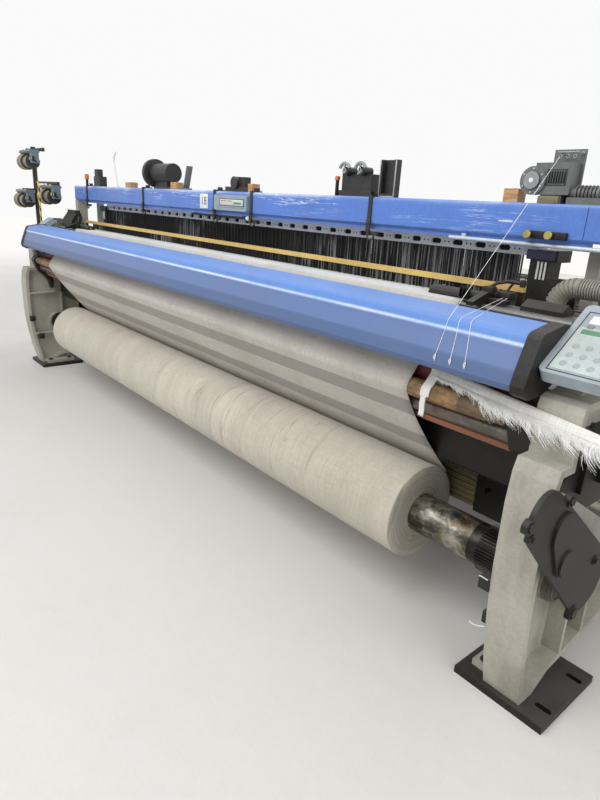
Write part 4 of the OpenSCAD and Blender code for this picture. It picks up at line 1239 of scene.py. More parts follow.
@dataclass
class WasteTape:
    """A twisted cloth tape with a long feathery fringe that carries the cut ends away."""

    line: tuple[Pair, ...] = ((1800, 952), (1951, 938), (2077, 925), (2217, 910), (2330, 898))
    depth: float = 1.6
    wide: float = 27.0
    slant: float = 13.0
    thick: float = 0.0012
    begin: float = 1802.0
    end: float = 2326.0
    reach: float = 2340.0
    fringe: float = 58.0
    lean: float = 34.0
    layers: int = 7
    strand: float = 0.38
    step: float = 1.6
    tuft: float = 17.0
    seed: int = 5

    def height(self, x: float) -> float:
        """Return the height of the tape's upper edge.

        Args:
            x: Sideways place.

        Returns:
            The height.
        """
        for (x0, z0), (x1, z1) in zip(self.line, self.line[1:]):
            if x <= x1:
                return z0 + (z1 - z0) * (x - x0) / (x1 - x0)
        return self.line[-1][1]

    def fullness(self, x: float) -> float:
        """Return how long the fringe is at a place: thin at first, then in tufts."""
        grown = min(1.0, max(0.3, (x - 1830) / 160))
        return grown * (0.72 + 0.28 * math.sin(x / 31) * math.sin(x / 12.7 + 1.0))

    def band(self) -> Piece:
        """Return the twisted tape."""
        shape = Shape()
        xs = [self.line[0][0] + 10 * i for i in range(54)]
        verts = [shape.bm.verts.new((x, self.depth + 0.8 * math.sin(x / 23), self.height(x))) for x in xs]
        row = [shape.bm.edges.new(pair) for pair in zip(verts, verts[1:])]
        for part in range(3):
            made = bmesh.ops.extrude_edge_only(shape.bm, edges=row)["geom"]
            moved = [item for item in made if isinstance(item, bmesh.types.BMVert)]
            row = [item for item in made
                   if isinstance(item, bmesh.types.BMEdge) and set(item.verts) <= set(moved)]
            bmesh.ops.translate(shape.bm, vec=(0, 0, -self.wide / 3), verts=moved)
            for vert in moved:
                wave = 1.2 * math.sin(vert.co.x / 19 + 1.3 * part)
                vert.co.y = self.depth - self.slant * (part + 1) / 3 + wave
        for face in shape.bm.faces:
            for loop in face.loops:
                loop[shape.uv].uv = (loop.vert.co.x * MM, loop.vert.co.z * MM)
        tape = shape.finish("waste_tape_band", TAPE.make(), "machine", "cloth")
        thicken(tape, self.thick)
        return tape

    def tufts(self) -> Piece:
        """Return the fringe: fine strands in layers that hang, lean and spread."""
        chance = random.Random(self.seed)
        strands: list[list[Vector]] = []
        for layer in range(self.layers):
            x = self.begin + chance.uniform(0, self.step)
            while x < self.end:
                tuft = random.Random(1000 * layer + int(x / self.tuft))
                down = chance.uniform(0.84, 1.0)
                root = Vector((x, self.depth - self.slant * down - 0.6 * layer,
                               self.height(x) - self.wide * down))
                reach = self.fringe * self.fullness(x) * tuft.uniform(0.35, 1.1) * chance.uniform(0.6, 1.0)
                lean = self.lean * reach / self.fringe * (tuft.uniform(0.2, 3.0) + chance.uniform(-0.3, 0.3))
                out = (tuft.uniform(0.1, 0.55) + chance.uniform(-0.05, 0.05)) * (1 + 0.35 * layer)
                path = [root + Vector((lean * t * t, -reach * out * math.sin(1.9 * t),
                                       -reach * (0.35 * t + 0.65 * t * t)))
                        for t in (0.0, 0.3, 0.65, 1.0)]
                path[-1].x = min(path[-1].x, self.reach)
                strands.append(path)
                x += self.step * chance.uniform(0.5, 1.5)
        return self.combed(strands)

    def combed(self, strands: list[list[Vector]]) -> Piece:
        """Return many fine strands as one piece, each thinner towards its tip.

        Args:
            strands: Points along every strand.

        Returns:
            The piece.
        """
        curve = bpy.data.curves.new("strands", "CURVE")
        curve.dimensions = "3D"
        curve.bevel_depth = self.strand * MM
        curve.bevel_resolution = 0
        for path in strands:
            spline = curve.splines.new("POLY")
            spline.points.add(len(path) - 1)
            for i, (point, place) in enumerate(zip(spline.points, path)):
                point.co = (*((place - Vector((0, FRONT_FEET, 0))) * MM), 1)
                point.radius = 1.2 - 0.8 * i / (len(path) - 1)
        return from_curve("waste_tape_fringe", curve, LINT, Matrix())

    def build(self) -> list[Piece]:
        """Return the tape and its fringe."""
        tape, fringe = self.band(), self.tufts()
        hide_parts("waste_tape")
        return [tape, fringe]


@dataclass
class WeftYarns:
    """Weft yarns held taut over the cover's edge to knots on its front.

    One comes from its eyelet on the upper beam and two from the right temple.
    """

    starts: tuple[Spot, ...] = ((1853, 400, 1566), (1846, 224, 1150), (1856, 232, 1150))
    ends: tuple[float, ...] = (1842, 1894, 1942)
    edge: Pair = (-13.0, 1091.0)
    edge_radius: float = 26.6
    front: tuple[Pair, ...] = ((-50.2, 1064.0), (-71.2, 1010.5), (-74.2, 1003.0))
    thick: float = 1.2

    def route(self, start: Spot, end: float) -> list[Vector]:
        """Return the points of one yarn.

        Args:
            start: Where it leaves what carries it.
            end: Sideways place of its knot.

        Returns:
            Points along the yarn.
        """
        away = Vector((start[1] - self.edge[0], start[2] - self.edge[1]))
        touch = math.degrees(math.atan2(away.y, away.x) + math.acos(self.edge_radius / away.length))
        first = polar(self.edge, self.edge_radius, touch)
        side = [(start[1], start[2])]
        side += [(start[1] + (first[0] - start[1]) * i / 12, start[2] + (first[1] - start[2]) * i / 12)
                 for i in range(1, 12)]
        side += round_arc(self.edge, self.edge_radius, touch, 163.0, 5) + list(self.front)
        walked = [0.0]
        for one, two in zip(side, side[1:]):
            walked.append(walked[-1] + math.dist(one, two))
        return [Vector((start[0] + (end - start[0]) * far / walked[-1], y, z))
                for (y, z), far in zip(side, walked)]

    def holder(self) -> Piece:
        """Return the rod with its three eyelets."""
        arm = Shape()
        _, depth, height = self.starts[0]
        rod = height + 12
        arm.rod((1843, depth + 4, rod), 66, 3.0, Along.X, sides=12, rounding=0.6)
        for x in (1849, 1903):
            arm.rod((x, depth + 4, rod), 38, 2.6, Along.Y, sides=12)
            arm.rod((x, depth + 36, rod), 6, 6.5, Along.Y, sides=6, rounding=0.6)
        for x in (1853, 1876, 1899):
            arm.rod((x, depth + 4, height + 4), 8, 1.2, Along.Z, sides=8)
            ring = [Vector((x + 5 * math.cos(t), depth + 3, height + 5 * math.sin(t)))
                    for t in (math.tau * i / 12 for i in range(13))]
            arm.tube(ring, 1.2, 6)
        return arm.finish("eyelet_rod", HANDLE_GREY.make(), "machine", "bare_steel")

    def knot(self, name: str, last: Vector) -> Piece:
        """Return a long knot with two short tails.

        Args:
            name: Name of the piece.
            last: Where the yarn ends.

        Returns:
            The knot.
        """
        tied = Shape()
        centre = last + Vector((0, -0.6, -2.0))
        loop = [centre + Vector((2.6 * math.cos(t), -1.2 + 1.0 * math.sin(3 * t),
                                 6.0 * math.sin(t) + 2.4 * math.sin(2 * t)))
                for t in (math.tau * k / 20 for k in range(21))]
        tied.tube(loop, 1.4, 6)
        for side in (-1, 1):
            tied.tube([centre + Vector((side * 1.0, -0.8, -5)), centre + Vector((side * 2.2, -0.9, -11)),
                       centre + Vector((side * 1.6, -1.0, -17 - 3 * side))], 0.6, 5)
        return tied.finish(name, TIED.make(), "machine", "yarn")

    def build(self) -> list[Piece]:
        """Return the rod with its eyelets, the yarns and their knots."""
        pieces = [self.holder()]
        for i, (start, end) in enumerate(zip(self.starts, self.ends), 1):
            path = self.route(start, end)
            yarn = Shape()
            yarn.tube(path, self.thick / 2, 6)
            line = yarn.finish(f"weft_yarn_{i}", LINT.make(), "machine", "yarn")
            knotted = self.knot(f"yarn_knot_{i}", path[-1])
            pieces += [line, knotted]
        return pieces


@dataclass
class HealdWires:
    """Dense healds between the rails of each frame, and the dents of the reed."""

    per_pitch: int = 8
    dents_per_pitch: int = 12
    low: float = 924.0
    high: float = 1266.0
    heald: Pair = (1.1, 0.5)
    dent: Pair = (0.35, 3.0)
    dent_span: Pair = (1049.0, 1161.0)
    slot_pitch: float = 98.0

    def healds(self, index: int) -> Piece:
        """Return the healds of one frame.

        Args:
            index: Number of the frame from the front, starting at 1.

        Returns:
            The piece.
        """
        shape = Shape()
        depth = LOOM.heald_first + (index - 1) * LOOM.heald_step + LOOM.heald_thick / 2
        count = (LOOM.strips - 1) * self.per_pitch
        step = LOOM.dent_pitch / self.per_pitch
        wide, deep = self.heald
        for i in range(count + 1):
            x = (i - count / 2) * step + (index - 2.5) * step / 4
            shape.block((x - wide, x + wide), (depth - deep, depth + deep), (self.low, self.high))
        frame_name = f"heald_frame_{index}"
        return shape.finish(f"heald_wires_{index}", WIRE.make(), frame_name, "heald_alloy", smooth=False)

    def dents(self) -> Piece:
        """Return the dents of the reed."""
        shape = Shape()
        count = (LOOM.strips - 1) * self.dents_per_pitch
        step = LOOM.dent_pitch / self.dents_per_pitch
        depth = LOOM.fell + 16
        wide, deep = self.dent
        for i in range(count + 1):
            x = (i - count / 2) * step
            shape.block((x - wide, x + wide), (depth - deep, depth + deep), self.dent_span)
        return shape.finish("reed_dents", WIRE.make(), "sley", "reed_brass", smooth=False)

    def painted_slot_shade(self) -> Piece:
        """Return a dark strip behind the slots of the front frame's rail: painted shade for the dark inside
        of the hollow rail.
        """
        shape = Shape()
        back = LOOM.heald_first + LOOM.heald_thick
        shape.block((-1780, 1780), (back + 0.1, back + 0.9), (1270, 1299), 0.2)
        return shape.finish("rail_slot_painted_shade", SLOT_SHADE_PAINT.make(), "heald_frame_1", "black_plastic",
                            smooth=False)

    def rail_holes(self) -> Piece:
        """Return dark discs between the slots of the front frame's rail: painted shade for its small holes.
        """
        shape = Shape()
        for k in range(-18, 18):
            for side in (-9, 9):
                shape.rod(((k + 0.5) * self.slot_pitch + side, LOOM.heald_first - 0.4, 1284), 0.5, 3.2,
                          Along.Y, 12)
        return shape.finish("rail_holes", SLOT_SHADE_PAINT.make(), "heald_frame_1", "black_plastic")

    def build(self) -> list[Piece]:
        """Return the healds of the four frames, the painted shade in the rail's slots and holes, and the
        dents.
        """
        return [self.healds(i) for i in (1, 2, 3, 4)] + [self.painted_slot_shade(), self.rail_holes(), self.dents()]


@dataclass
class Fittings:
    """Small pieces of one kind, each a list of simple forms in one mesh."""

    def blocks(self, name: str, finish: Finish, slot: str, boxes: list[tuple], body: str = "machine",
               rounding: float = 1.5) -> Piece:
        """Return soft-edged boxes as one piece.

        Args:
            name: Name of the piece.
            finish: Its finish.
            slot: Material slot of the record.
            boxes: Sideways, depth and height limits of each box.
            body: Body that carries it.
            rounding: Width of the softened edges.

        Returns:
            The piece.
        """
        shape = Shape()
        for x, y, z in boxes:
            shape.block(x, y, z, rounding)
        return shape.finish(name, finish.make(), body, slot)

    def rods(self, name: str, finish: Finish, slot: str, rods: list[tuple], body: str = "machine",
             rounding: float = 0.8) -> Piece:
        """Return rods, knobs or bolt heads as one piece.

        Args:
            name: Name of the piece.
            finish: Its finish.
            slot: Material slot of the record.
            rods: Start, length, radius, axis and number of sides of each rod.
            body: Body that carries it.
            rounding: Width of the softened rims.

        Returns:
            The piece.
        """
        shape = Shape()
        for start, length, radius, along, sides in rods:
            shape.rod(start, length, radius, along, sides, rounding=rounding)
        return shape.finish(name, finish.make(), body, slot)

    def border(self, x: Pair, y: Pair, z: Pair, rim: Pair) -> list[tuple]:
        """Return the four boxes of a thin frame round a field.

        Args:
            x: Left and right limits.
            y: Front and back limits.
            z: Lower and upper limits.
            rim: Width of the upright and of the level bars.

        Returns:
            The upper, lower, left and right box.
        """
        return [(x, y, (z[1] - rim[1], z[1])), (x, y, (z[0], z[0] + rim[1])),
                ((x[0], x[0] + rim[0]), y, z), ((x[1] - rim[0], x[1]), y, z)]


@dataclass
class BeamFittings(Fittings):
    """What is fixed on the front of the upper beam."""

    face: float = LOOM.beam_front
    strap_places: tuple[float, ...] = (-1920, -945, -66, 281, 1105)
    plate: tuple[float, float, float, float] = (-221, -139, 1336, 1413)
    plate_thick: float = 2.4
    number: str = "18"
    figure: float = 62.0

    def digits(self) -> Piece:
        """Return the plain machine number as thin raised figures."""
        curve = bpy.data.curves.new("number", "FONT")
        curve.body = self.number
        curve.size = self.figure * MM
        curve.extrude = 0.4 * MM
        curve.align_x, curve.align_y = "CENTER", "CENTER"
        left, right, low, high = (value * MM for value in self.plate)
        stand = Matrix.Rotation(math.pi / 2, 4, "X")
        depth = (self.face - self.plate_thick - FRONT_FEET) * MM
        middle = Matrix.Translation(((left + right) / 2, depth, (low + high) / 2))
        return from_curve("plate_number", curve, MARK_DARK, middle @ stand)

    def hooks(self) -> Piece:
        """Return the hooks at the feet of the straps."""
        shape = Shape()
        for x in self.strap_places:
            shape.block((x - 11, x + 11), (self.face - 10, self.face - 6), (1296, 1345), 1.5)
            bend = ((0, 1300), (0, 1284), (6, 1272), (20, 1268), (34, 1272), (38, 1284))
            shape.tube([Vector((x + aside, self.face - 8, z)) for aside, z in bend], 4.5, 10)
            shape.rod((x, self.face - 14, 1330), 5, 7, Along.Y, 6, rounding=1.0)
        return shape.finish("strap_hooks", DARK.make(), "machine", "dark_paint")

    def build(self) -> list[Piece]:
        """Return the number plate, the display's window, the hooks, the knobs and the bar."""
        left, right, low, high = self.plate
        face = self.face
        pieces = [
            self.blocks("number_plate", MARK_WHITE, "panel_plastic",
                        [((left, right), (face - self.plate_thick, face), (low, high))], rounding=0.8),
            self.digits(),
            self.hooks(),
            self.blocks("display_window", DISPLAY_GLASS, "panel_plastic",
                        [((14, 233), (face - 20.2, face - 18.6), (1361, 1391))], rounding=0.5),
            self.blocks("display_green_bar", MARK_GREEN, "panel_plastic",
                        [((146, 216), (face - 20.8, face - 20), (1368, 1378))], rounding=0.2),
            self.blocks("display_red_bars", MARK_RED, "panel_plastic",
                        [((24, 78), (face - 20.8, face - 20), (1380, 1385)),
                         ((90, 128), (face - 20.8, face - 20), (1380, 1385))], rounding=0.2),
            self.blocks("display_frame", MARK_DARK, "panel_plastic",
                        self.border((10, 237), (face - 20.4, face - 18.8), (1358, 1394), (4, 3)),
                        rounding=0.3),
            self.rods("beam_knobs", BRASS, "bare_steel", [
                ((1812, face - 22, 1337), 22, 9, Along.Y, 20), ((1882, face - 22, 1338), 22, 9, Along.Y, 20),
                ((1812, face - 30, 1337), 9, 13, Along.Y, 20),
                ((1882, face - 30, 1338), 9, 13, Along.Y, 20)], rounding=1.5),
            self.blocks("knob_bar", BLACK_STEEL, "black_steel",
                        [((1796, 1933), (face - 14, face - 0.5), (1326, 1349))], rounding=2.0),
            self.blocks("beam_mark", MARK_WHITE, "panel_plastic",
                        [((1690, 1740), (face - 0.6, face + 0.2), (1370, 1374))], rounding=0.1),
            self.rods("under_rod", BLACK_STEEL, "black_steel", [((-330, 396, 1302), 560, 6, Along.X, 16)]),
            self.blocks("under_rod_clips", BLACK_STEEL, "black_steel",
                        [((-300, -284), (390, 402), (1298, 1311)), ((190, 206), (390, 402), (1298, 1311))]),
            self.rods("under_rod_knob", MARK_WHITE, "panel_plastic",
                      [((228, 396, 1302), 24, 11, Along.X, 20)], rounding=2.5),
        ]
        return pieces


@dataclass
class SelvedgeDevices(Fittings):
    """Details of the small drives that stand on the upper beam."""

    top: float = LOOM.beam_high
    front: float = LOOM.beam_front + 10.0
    blocks_wood: tuple[Spot, ...] = ((-1238, 92, 34), (-590, 72, 40), (230, 38, 40), (1686, 52, 42))

    def springs(self) -> Piece:
        """Return the coil spring of the right drive."""
        shape = Shape()
        turns, per, reach, radius = 6, 14, 66, 23
        path = [Vector((1918 + reach * i / (turns * per),
                        self.front + 24 + radius * math.cos(math.tau * i / per),
                        self.top + 32 + radius * math.sin(math.tau * i / per)))
                for i in range(turns * per + 1)]
        shape.tube(path, 1.8, 6)
        return shape.finish("selvedge_spring", GREY_STEEL.make(), "machine", "bare_steel")

    def handles(self) -> Piece:
        """Return the two crescent handles of the middle drive."""
        shape = Shape()
        front, hinge = self.front, self.top + 96
        for x in (950, 1040):
            arc = [Vector((x + 30 * math.cos(t), front - 20, hinge + 30 * math.sin(t)))
                   for t in (math.radians(20 + 140 * i / 14) for i in range(15))]
            shape.tube(arc, 7, 10)
            shape.rod((x, front - 24, hinge), 14, 10, Along.Y, 20, rounding=1.0)
            shape.block((x - 4, x + 4), (front - 24, front - 17), (hinge, hinge + 28), 1.0)
        return shape.finish("selvedge_handles", HANDLE_GREY.make(), "machine", "panel_plastic")

    def bent_tube(self) -> Piece:
        """Return the white bent tube at the left of the beam."""
        shape = Shape()
        spots = [(-1438, 1428), (-1446, 1436), (-1455, 1470), (-1470, 1530), (-1488, 1580),
                 (-1496, 1604), (-1494, 1626), (-1482, 1644), (-1466, 1656), (-1449, 1664)]
        shape.tube([Vector((x, 430, z)) for x, z in spots], 5.5, 12)
        shape.rod((-1438, 430, 1428), 12, 12, Along.Z, 16, rounding=1.5)
        return shape.finish("bent_tube", WHITE_TUBE.make(), "machine", "panel_plastic")

    def build(self) -> list[Piece]:
        """Return the details of the drives."""
        top, front = self.top, self.front
        hub = (1785, top + 66)
        return [
            self.springs(),
            self.handles(),
            self.bent_tube(),
            self.rods("hub_face", HANDLE_GREY, "bare_steel",
                      [((hub[0], front - 18.5, hub[1]), 3, 26, Along.Y, 32)]),
            self.rods("hub_centre", MARK_WHITE, "panel_plastic",
                      [((hub[0], front - 20, hub[1]), 2.5, 7, Along.Y, 24)]),
            self.rods("hub_bolts", BRIGHT_STEEL, "bare_steel", [
                ((hub[0] + 34 * math.cos(a), front - 13, hub[1] + 34 * math.sin(a)), 4, 4, Along.Y, 6)
                for a in (math.radians(60 * k + 30) for k in range(6))], rounding=0.5),
            self.blocks("motor_window_frame", DARK, "dark_paint",
                        self.border((1826, 1890), (front - 3.4, front - 1.6), (top + 52, top + 99), (3, 3)),
                        rounding=0.3),
            self.blocks("motor_fins", BLACK_STEEL, "black_steel", [
                ((1834 + 8 * k, 1837 + 8 * k), (front - 6, front - 1.6), (top + 58, top + 93))
                for k in range(7)], rounding=0.4),
            self.blocks("drive_foot", RUBBER_FOOT, "olive_paint",
                        [((1808, 1876), (front - 4, front + 12), (top, top + 22))], rounding=2.5),
            self.blocks("middle_lever", BLACK_STEEL, "black_steel",
                        [((884, 896), (front - 6, front + 6), (top, top + 62))], rounding=2.0),
            self.blocks("middle_lever_tip", ORANGE, "panel_plastic",
                        [((881, 899), (front - 9, front + 9), (top + 60, top + 78))], rounding=4.0),
            self.blocks("fork_edges", BRIGHT_STEEL, "bare_steel", [
                ((1127, 1131), (front + 1, front + 5), (top + 2, top + 138)),
                ((1205, 1209), (front + 1, front + 5), (top + 2, top + 138)),
                ((1127, 1209), (front + 1, front + 5), (top, top + 5))], rounding=0.5),
            self.blocks("left_orange_piece", ORANGE, "panel_plastic",
                        [((-2003, -1967), (front + 6, front + 30), (top + 47, top + 89))], rounding=6.0),
            self.blocks("left_orange_post", BLACK_STEEL, "black_steel",
                        [((-1993, -1977), (front + 10, front + 26), (top, top + 50))], rounding=1.5),
            self.rods("left_disc_dot", ORANGE, "panel_plastic", [((-872, 419, 1523), 4.5, 12, Along.X, 20)],
                      body="leno_disc"),
            self.rods("left_disc_ring", BRIGHT_STEEL, "bare_steel", [((-853, 419, 1523), 4, 62, Along.X, 40)],
                      body="leno_disc"),
            self.slanted_plate(),
            self.block_screws(),
        ]

    def slanted_plate(self) -> Piece:
        """Return the slanting grey plate on its foot."""
        shape = Shape()
        shape.block((-440, -434), (self.front, self.front + 40), (self.top, self.top + 138), 1.0)
        shape.tilted(list(shape.bm.verts), (-437, self.front + 20, self.top),
                     Matrix.Rotation(math.radians(20), 3, "Y"))
        shape.block((-452, -404), (self.front, self.front + 44), (self.top, self.top + 10), 1.5)
        return shape.finish("slanted_plate", MID_GREY.make(), "machine", "grey_steel")

    def block_screws(self) -> Piece:
        """Return the screws that hold the wooden blocks."""
        rods = [((x + w / 2, self.front + 24, self.top + h - 1), 3, 5, Along.Z, 16)
                for x, w, h in self.blocks_wood]
        return self.rods("block_screws", GREY_STEEL, "bare_steel", rods, rounding=0.8)


@dataclass
class PanelPrint(Fittings):
    """The printed fields and keys of the two control panels."""

    thick: float = 38.0
    low: Pair = LOOM.panel_low
    right: float = LOOM.inner + 0.5
    left_width: float = 110.0

    def lean(self, shape: Shape) -> None:
        """Lean a flat shape onto the sloping face."""
        turn = Matrix.Rotation(math.radians(LOOM.panel_tilt), 3, "X")
        shape.tilted(list(shape.bm.verts), (0, self.low[0], self.low[1]), turn)

    def inlay(self, name: str, finish: Finish, fields: list[tuple[float, float, float, float]], left: float,
              lift: float, rise: float = 0.8) -> Piece:
        """Return flat fields that lie on the sloping face.

        Args:
            name: Name of the piece.
            finish: Its finish.
            fields: Left, right, lower and upper limits on the face.
            left: Sideways place of the panel's left edge.
            lift: Height of the face above the panel's underside.
            rise: Thickness of the fields.

        Returns:
            The piece.
        """
        shape = Shape()
        for x0, x1, y0, y1 in fields:
            shape.block((left + x0, left + x1), (self.low[0] + y0, self.low[0] + y1),
                        (self.low[1] + lift - 0.3, self.low[1] + lift + rise), min(0.4, rise / 3))
        self.lean(shape)
        return shape.finish(name, finish.make(), "machine", "keypad")

    def buttons(self, name: str, centres: list[Pair], left: float, lift: float) -> Piece:
        """Return round keys on the sloping face.

        Args:
            name: Name of the piece.
            centres: Places of the keys on the face.
            left: Sideways place of the panel's left edge.
            lift: Height of the face above the panel's underside.

        Returns:
            The piece.
        """
        shape = Shape()
        for across, up in centres:
            start = (left + across, self.low[0] + up, self.low[1] + lift - 0.3)
            shape.rod(start, 1.7, 9.5, Along.Z, 28, tip=8.0)
        self.lean(shape)
        return shape.finish(name, KEY_GREY.make(), "machine", "keypad")

    def build(self) -> list[Piece]:
        """Return the prints of the right and the left panel."""
        face, pad = self.thick, self.thick + 1.5
        frame_lines = [(18, 182, 10, 13), (18, 182, 232, 235), (18, 21, 10, 235), (179, 182, 10, 235)]
        keys = [(48 + 34 * k, 40 + 32 * j) for k in range(4) for j in range(3)]
        left_keys = [(33 + 24 * k, 68 + 27 * j) for k in range(3) for j in range(3)]
        left = -self.right - self.left_width
        return [
            self.inlay("panel_frame_line", MARK_DARK, frame_lines, self.right, face),
            self.inlay("panel_green_bar", MARK_GREEN, [(34, 166, 150, 166)], self.right, pad),
            self.buttons("panel_keys", keys, self.right, pad),
            self.inlay("panel_dark_key", MARK_GREY, [(40, 56, 172, 184)], self.right, pad, 1.4),
            self.inlay("panel_white_squares", MARK_WHITE, [(36, 66, 190, 220), (76, 106, 190, 220)],
                       self.right, face, 1.6),
            self.inlay("panel_red_key", MARK_RED, [(136, 162, 192, 218)], self.right, face, 2.6),
            self.buttons("left_panel_keys", left_keys, left, pad),
            self.inlay("left_panel_green_bar", MARK_GREEN, [(24, 90, 150, 160)], left, pad),
        ]


@dataclass
class FrontDetails(Fittings):
    """Details of the take-up side: rings, a rag, temple rings, guides and bolts."""

    temple_depth: float = 260.0
    ring_count: int = 17
    ring_pitch: float = 11.0
    seed: int = 9

    def temple_rings(self) -> Piece:
        """Return the rings of both temple rollers."""
        shape = Shape()
        height = LOOM.warp_height + 11.8
        for side in (-1, 1):
            for k in range(self.ring_count):
                x = side * (LOOM.cloth_half - 146) + side * k * self.ring_pitch
                start = min(x, x + side * 6)
                shape.rod((start, self.temple_depth, height), 6, 8.6, Along.X, 20, rounding=0.6)
            start = side * (LOOM.cloth_half - 150)
            shape.rod((min(start, start + side * 200), self.temple_depth, height), 200, 4, Along.X, 16)
        return shape.finish("temple_rings", BRASS.make(), "machine", "bare_steel")

    def temple_parts(self) -> list[Piece]:
        """Return the blades, clamps, levers and screws of both temples."""
        top = LOOM.warp_height + 28
        pieces = []
        for side, label in ((-1, "left"), (1, "right")):
            shape = Shape()
            for x in (1700, 1712, 1724):
                blade = shape.block((side * x - 1, side * x + 1), (206, 234), (top - 20, top + 14), 0.5)
                turn = Matrix.Rotation(math.radians(-18), 3, "X")
                shape.tilted([v for v in blade if v.is_valid], (side * x, 234, top - 20), turn)
            shape.block(mirrored(side, 1764, 1798), (234, 264), (top - 2, top + 24), 2.5)
            shape.block(mirrored(side, 1800, 1846), (262, 300), (top - 16, top + 10), 2.5)
            shape.block(mirrored(side, 1790, 1806), (250, 290), (top - 8, top + 6), 1.5)
            lever = ((1780, 249, top + 20), (1800, 258, top + 36), (1832, 272, top + 44),
                     (1868, 288, top + 40))
            shape.tube([Vector((side * x, y, z)) for x, y, z in lever], 5.5, 10)
            shape.rod((side * 1868, 288, top + 30), 22, 9, Along.Z, 16, rounding=2.0)
            spur = ((1822, 280, top + 6), (1826, 296, top + 30), (1846, 302, top + 52))
            shape.tube([Vector((side * x, y, z)) for x, y, z in spur], 4.0, 8)
            name = f"temple_levers_{label}"
            pieces.append(shape.finish(name, BLACK_PLASTIC.make(), "machine", "black_plastic"))
        screws = [((side * x, self.temple_depth, top - 1.5), 6, 6, Along.Z, 6)
                  for side in (-1, 1) for x in (1600, 1676, 1750)]
        pieces.append(self.rods("temple_screws", GREY_STEEL, "bare_steel", screws))
        return pieces

    def rag(self) -> Piece:
        """Return the white rag that hangs from the ring of the take-up roller."""
        shape = Shape()
        points = round_arc(LOOM.take_up, LOOM.take_up_radius + 10, 120.0, 176.0, 8)
        over = LOOM.press_radius + 3.5
        points += round_arc(LOOM.press, over, 118.0, 190.0, 10)
        points += [(LOOM.press[0] - over + 1.5 * math.sin(1.3 * i), LOOM.press[1] - 9 * i)
                   for i in range(1, 9)]
        length = shape.strip(points, (1762, 1796), 8)
        for vert in shape.bm.verts:
            if vert.co.z < LOOM.press[1] - 8:
                vert.co.y += 2.0 * math.sin(vert.co.x / 4.2)
                vert.co.x = 1776 + (vert.co.x - 1779) * 0.55
        piece = shape.finish("rag", TAPE.make(), "machine", "cloth")
        thicken(piece, 0.001)
        return piece

    def wrapping(self) -> Piece:
        """Return the white cloth wrapped round the take-up roller."""
        shape = Shape()
        chance = random.Random(self.seed)
        swell = [(1766 + 3 * i, 76 + 4.5 * math.sin(math.pi * i / 13) + chance.uniform(-0.8, 0.8))
                 for i in range(14)]
        shape.turned([(1764, 72.2), *swell, (1807, 72.2)], LOOM.take_up, 48)
        return shape.finish("take_up_wrapping", TAPE.make(), "take_up_roller", "cloth")

    def inner_guard(self) -> Piece:
        """Return the dark sheet behind the rollers, folded at its lower edge."""
        shape = Shape()
        fold = [(196, 742), (198, 742), (198, 581), (222, 565), (221, 563), (196, 580)]
        shape.prism(fold, (-2080, 2080), 0.4)
        for side in (-1, 1):
            shape.block(mirrored(side, 2080, 2125), (192, 202), (600, 700), 1.0)
        return shape.finish("inner_guard", BLACK_STEEL.make(), "machine", "black_steel")

    def leg_bolts(self) -> Piece:
        """Return the bolts of the front leg, the foot and the gear case."""
        rods = [((2128 + 60, 20, 47), 10, 15, Along.Z, 6)]
        for side in (-1, 1):
            for y in (60, 210, 1280, 1430):
                rods.append(((side * 2094, y, 47), 12, 14, Along.Z, 6))
                rods.append(((side * 2094, y, 46.5), 3, 20, Along.Z, 24))
            for z in (870, 900):
                start = 2246 if side > 0 else -2252
                rods.append(((start, 60, z), 6, 9, Along.X, 6))
        return self.rods("frame_bolts", BLACK_STEEL, "black_steel", rods, rounding=1.0)

    def ties(self) -> Piece:
        """Return the two pale tie ends on the front leg."""
        shape = Shape()
        for tie in (((2120, -76, 419), (2112, -82, 424), (2102, -84, 426), (2096, -83, 424)),
                    ((2122, -50, 250), (2108, -58, 246), (2092, -62, 244), (2078, -61, 246))):
            shape.tube([Vector(spot) for spot in tie], 1.6, 6)
        return shape.finish("tie_ends", MARK_WHITE.make(), "machine", "panel_plastic")

    def bearing_caps(self) -> Piece:
        """Return the pale wire rings on the bearings of the cloth beam."""
        shape = Shape()
        for side in (-1, 1):
            ring = [Vector((side * (LOOM.web_end + 37), LOOM.roll[0] + 46 * math.cos(t),
                            LOOM.roll[1] + 46 * math.sin(t)))
                    for t in (math.tau * i / 40 for i in range(41))]
            shape.tube(ring, 2.2, 8)
        return shape.finish("bearing_rings", HANDLE_GREY.make(), "machine", "bare_steel")

    def leg_blocks(self) -> Piece:
        """Return the black stop blocks on the inner side of both front legs."""
        boxes = []
        for side in (-1, 1):
            for y, z in ((-52, 398), (6, 249)):
                boxes.append((mirrored(side, 2089, 2125), (y - 20, y + 20), (z - 20, z + 20)))
        return self.blocks("leg_blocks", BLACK_PLASTIC, "black_plastic", boxes, rounding=3.0)

    def build(self) -> list[Piece]:
        """Return the details of the front."""
        guides = [((s * 1823 - 17, s * 1823 + 17), (469.6, 471.6), (1193, 1261)) for s in (-1, 1)]
        strips = [((s * 1823 - 17 + 13 * k, s * 1823 - 10 + 13 * k), (467, 470), (1193, 1261))
                  for s in (-1, 1) for k in range(3)]
        return self.temple_parts() + [
            self.temple_rings(),
            self.rag(),
            self.leg_bolts(),
            self.ties(),
            self.blocks("guide_backs", BLACK_PLASTIC, "black_plastic", guides, rounding=0.4),
            self.blocks("guide_strips", MARK_WHITE, "panel_plastic", strips, rounding=0.8),
            self.blocks("guide_caps", MARK_BLUE, "black_plastic", [
                ((s * 1818 - 51, s * 1818 + 51), (458, 470), (1256, 1289)) for s in (-1, 1)], rounding=3.0),
            self.wrapping(),
            self.inner_guard(),
            self.blocks("housing_cap", MARK_WHITE, "panel_plastic",
                        [((-2177, -1960), (290, 314), (1246, 1252))], rounding=2.0),
            self.rods("member_bolts", BLACK_STEEL, "black_steel", [
                ((s * (LOOM.inner - 150) - 5, 419, z), 8, 11, Along.Y, 6) for s in (-1, 1)
                for z in (372, 484)], rounding=1.0),
            self.bearing_caps(),
            self.leg_blocks(),
        ]


